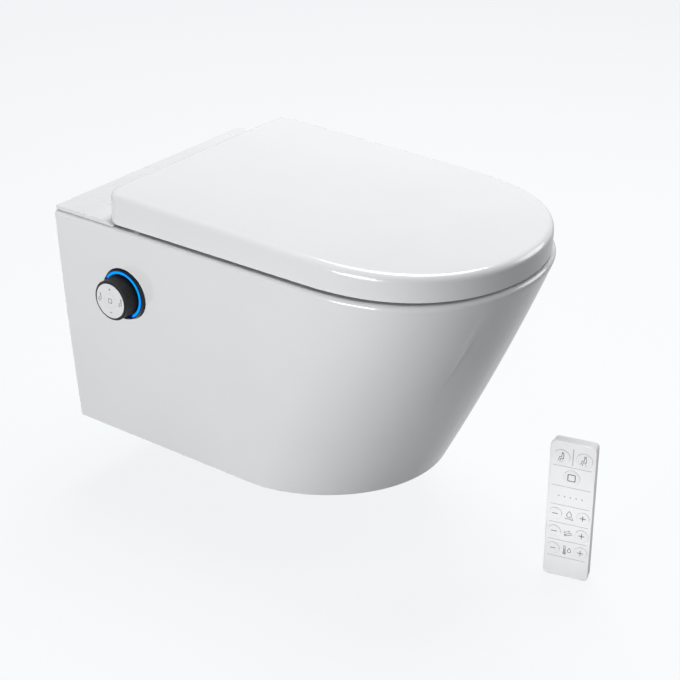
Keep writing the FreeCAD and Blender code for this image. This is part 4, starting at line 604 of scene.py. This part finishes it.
def lit_ring_colour(tree):
    """The ring's colour: bright along its middle, deep blue at both edges and at both ends of the lit part.
    The share of light is half the ring's width less the distance from its middle line, over that width,
    times how far the place lies towards the lit part's middle."""
    low, high = reach("light_ring", (0, 0, 1))
    outer = (high - low) / 2
    about, distance = knob_axis_distance(tree)
    across = added(tree, "MapRange", {"From Min": outer - RING_EDGE, "From Max": outer})
    hump = added(tree, "Math", {1: 0.5}, "PINGPONG")
    unit = added(tree, "VectorMath", operation="NORMALIZE")
    middle = (0.0, -math.cos(RING_MIDDLE), math.sin(RING_MIDDLE))
    towards = added(tree, "VectorMath", {1: middle}, "DOT_PRODUCT")
    around = added(tree, "MapRange", {"From Min": RING_FADE[0], "From Max": RING_FADE[1]})
    light = added(tree, "Math", operation="MULTIPLY")
    ramp = added(tree, "ValToRGB")
    first, last = ramp.color_ramp.elements
    first.color = UNLIT_BLUE + (1.0,)
    last.color = LIGHT_BLUE + (1.0,)
    last.position = LIGHT_FROM
    ramp.color_ramp.elements.new(DEEP_FROM).color = DEEP_BLUE + (1.0,)
    wire(tree, (distance, across.inputs["Value"]), (across.outputs["Result"], hump.inputs[0]),
         (about, unit.inputs[0]), (unit.outputs["Vector"], towards.inputs[0]),
         (towards.outputs["Value"], around.inputs["Value"]), (hump.outputs[0], light.inputs[0]),
         (around.outputs["Result"], light.inputs[1]), (light.outputs[0], ramp.inputs["Fac"]))
    return ramp.outputs["Color"]


def lit_ring_material():
    """The lit ring: full strength to the camera, less on the pieces around."""
    material, tree, shader = new_material("lit ring")
    path = added(tree, "LightPath")
    spill = added(tree, "MapRange", {"To Min": RING_SPILL})
    wire(tree, (lit_ring_colour(tree), shader.inputs["Emission Color"]),
         (path.outputs["Is Camera Ray"], spill.inputs["Value"]),
         (spill.outputs["Result"], shader.inputs["Emission Strength"]))
    shader.inputs["Base Color"].default_value = UNLIT_BLUE + (1.0,)
    shader.inputs["Specular IOR Level"].default_value = 0.0
    shader.inputs["Roughness"].default_value = 0.25
    return material


# ---- the knob's and the handset's marks -------------------------------------------------

def knob_marks():
    """Icons on the knob's face: stop in the middle, plus above, minus below, a seated figure each side."""
    inward = joint_axis("knob_press")
    out = -inward
    centre = joint_place("knob_turn")
    right = np.cross((0, 0, 1), out)
    face = Face(centre, right, out, reach("knob_face", out)[1])
    rear = scaled(seated_figure(KNOB_LINE, REAR_SPRAY), KNOB_FIGURE_SIZE)
    front = scaled(seated_figure(KNOB_LINE, FRONT_SPRAY), KNOB_FIGURE_SIZE)
    for name, marks, right, up in (
        ("knob_stop_mark", [stroke(rounded_square(2.9, 1.0), 0.95, closed=True)], 0, 0),
        ("knob_plus_mark", plus_mark(1.6, KNOB_LINE), 0, KNOB_SIGN_OFF),
        ("knob_minus_mark", minus_mark(2.0, KNOB_LINE), 0, -KNOB_SIGN_OFF),
        ("knob_rear_wash_mark", rear, -KNOB_FIGURE_OFF, KNOB_FIGURE_LIFT),
        ("knob_front_wash_mark", front, KNOB_FIGURE_OFF, KNOB_FIGURE_LIFT),
    ):
        printed(name, marks, face.moved(right, up), "knob ink", "knob_button")
    ring = stroke(arc((0, 0), FACE_RING, 0, 356, 90), FACE_RING_LINE, closed=True)
    printed("knob_face_ring", [ring], face, "faint ink", "knob_button")


def handset_face():
    """The handset's front: its centre line at the foot, on the recessed field."""
    inward = joint_axis("stop_button_press")
    out = -inward
    right = np.cross((0, 0, 1), out)
    middle = sum(reach("stop_button", right)) / 2
    centre = right * middle
    centre[2] = reach("remote_front", (0, 0, 1))[0]
    return Face(centre, right, out, reach("remote_front", out)[1] - FIELD_RECESS * MM)


def button_marks():
    """A mark on each button, riding with it."""
    minus, plus = minus_mark(3.7, KEY_LINE), plus_mark(3.9, KEY_LINE)
    marks = {
        "rear_wash_button": seated_figure(FIGURE_LINE, REAR_SPRAY),
        "front_wash_button": seated_figure(FIGURE_LINE, FRONT_SPRAY),
        "stop_button": [stroke(rounded_square(4.7, 0.9), 1.15, closed=True)],
        "pressure_down_button": minus, "pressure_up_button": plus,
        "position_back_button": minus, "position_front_button": plus,
        "cooler_button": minus, "warmer_button": plus,
    }
    face = handset_face()
    for node, drawn in marks.items():
        own = Face(middle_of(node), face.right, face.outward, middle_height(node, face))
        printed(node + "_mark", drawn, own, "icon ink", node)


def middle_height(node, face):
    """How far out the middle of a button's top lies."""
    points = corners(node)
    flat = points - middle_of(node)
    off_axis = np.hypot(flat @ face.right, flat @ face.up)
    near = off_axis < off_axis.max() * 0.6
    return (points[near] @ face.outward).max()


def handset_marks():
    """The lines between rows, the upright between the wash buttons and the three row icons."""
    face = handset_face()
    rules = [stroke(runs((-RULE_HALF, z), (RULE_HALF, z)), RULE_LINE) for z in RULE_HEIGHTS]
    rules.append(stroke(runs(*((0, z) for z in DIVIDER)), DIVIDER_LINE))
    printed("handset_rules", rules, face, "pale ink", "handset")
    foot = reach("remote_front", (0, 0, 1))[0]
    drawn = []
    for node, mark in (("pressure_up_button", pressure_mark), ("position_front_button", position_mark),
                       ("warmer_button", warmth_mark)):
        height = (sum(reach(node, (0, 0, 1))) / 2 - foot) / MM
        drawn += lifted(mark(ROW_LINE), 0, height)
    printed("handset_icons", drawn, face, "icon ink", "handset")


# ---- floor, lamps and camera ------------------------------------------------------------

def floor_material():
    """Pale ground: mostly its own colour to the camera and in reflections, the rest lit, so that it holds the
    shadow. The share of its own colour is the camera's rays plus FLOOR_MIRROR of the glossy ones."""
    material, tree, shader = new_material("pale floor")
    shader.inputs["Roughness"].default_value = 0.9
    shader.inputs["Specular IOR Level"].default_value = 0.0
    path = added(tree, "LightPath")
    tone = colour_mix(tree, FLOOR_BOUNCE, PAPER)
    glow = added(tree, "Emission", {"Color": FLOOR_GLOW + (1.0,)})
    seen = added(tree, "Math", {1: FLOOR_MIRROR}, "MULTIPLY_ADD")
    seen.use_clamp = True
    share = added(tree, "Math", {1: 1.0 - FLOOR_SHADE}, "MULTIPLY")
    mix = added(tree, "MixShader")
    wire(tree, (path.outputs["Is Camera Ray"], tone.inputs[SHARE]),
         (tone.outputs[RESULT], shader.inputs["Base Color"]), (path.outputs["Is Glossy Ray"], seen.inputs[0]),
         (path.outputs["Is Camera Ray"], seen.inputs[2]), (seen.outputs[0], share.inputs[0]),
         (share.outputs[0], mix.inputs[0]), (shader.outputs[0], mix.inputs[1]),
         (glow.outputs[0], mix.inputs[2]), (mix.outputs[0], tree.nodes["Material Output"].inputs["Surface"]))
    return material


def lay_floor():
    """A flat square under the handset's foot."""
    level = cad_box[0][2]
    half = FLOOR_SIZE / 2
    mesh = bpy.data.meshes.new("floor")
    square = [(half * x, half * y, level) for x, y in ((-1, -1), (1, -1), (1, 1), (-1, 1))]
    mesh.from_pydata(square, [], [(0, 1, 2, 3)])
    mesh.materials.append(floor_material())
    floor = bpy.data.objects.new("floor", mesh)
    bpy.context.scene.collection.objects.link(floor)


def light_room():
    """A pale room: the paper's colour to the camera and in reflections, a soft fill on everything else."""
    world = bpy.data.worlds.new("room")
    bpy.context.scene.world = world
    world.use_nodes = True
    tree = world.node_tree
    back = tree.nodes["Background"]
    back.inputs["Color"].default_value = PAPER + (1.0,)
    path = added(tree, "LightPath")
    seen = added(tree, "Math", operation="ADD")
    through = added(tree, "Math", operation="ADD")
    through.use_clamp = True
    level = added(tree, "MapRange", {"To Min": FILL_LIGHT, "To Max": 1.0})
    wire(tree, (path.outputs["Is Camera Ray"], seen.inputs[0]),
         (path.outputs["Is Glossy Ray"], seen.inputs[1]), (seen.outputs[0], through.inputs[0]),
         (path.outputs["Is Transmission Ray"], through.inputs[1]),
         (through.outputs[0], level.inputs["Value"]), (level.outputs["Result"], back.inputs["Strength"]))


def hang_lamps():
    """The soft lamps round the pan, and a narrow one on the handset."""
    for name, place, size, power, matt in LAMPS:
        data = bpy.data.lights.new(name, "AREA")
        data.shape = "DISK"
        data.size = size
        data.energy = power
        data.diffuse_factor = matt
        hang_lamp(data, place, LAMP_AIM)
    data = bpy.data.lights.new("handset_lamp", "SPOT")
    data.spot_size = HANDSET_CONE
    data.spot_blend = HANDSET_CONE_EDGE
    data.shadow_soft_size = HANDSET_LAMP_SIZE
    data.energy = HANDSET_LAMP
    hang_lamp(data, HANDSET_LAMP_AT, middle_of("remote_front"))


def hang_lamp(data, place, aim):
    """A lamp at a place, turned towards what it lights."""
    lamp = bpy.data.objects.new(data.name, data)
    bpy.context.scene.collection.objects.link(lamp)
    lamp.location = place
    lamp.rotation_euler = (Vector(aim) - Vector(place)).to_track_quat("-Z", "Y").to_euler()


def set_camera():
    """The camera, at the place and angle that the picture was taken from."""
    data = bpy.data.cameras.new("camera")
    data.sensor_width = 36.0
    data.lens = CAMERA_LENS
    data.clip_end = 60.0
    camera = bpy.data.objects.new("camera", data)
    bpy.context.scene.collection.objects.link(camera)
    camera.location = CAMERA_AT
    level = math.cos(CAMERA_PITCH)
    look = Vector((math.sin(CAMERA_YAW) * level, math.cos(CAMERA_YAW) * level, -math.sin(CAMERA_PITCH)))
    camera.rotation_euler = look.to_track_quat("-Z", "Y").to_euler()
    bpy.context.scene.camera = camera


set_camera()
lay_floor()
light_room()
hang_lamps()
dress_all()
dress("light_ring", lit_ring_material())
dress("knob_face", add_bead(MATERIALS["face white"]))
knob_marks()
button_marks()
handset_marks()

bpy.context.scene.view_settings.view_transform = "Standard"
bpy.context.view_layer.update()
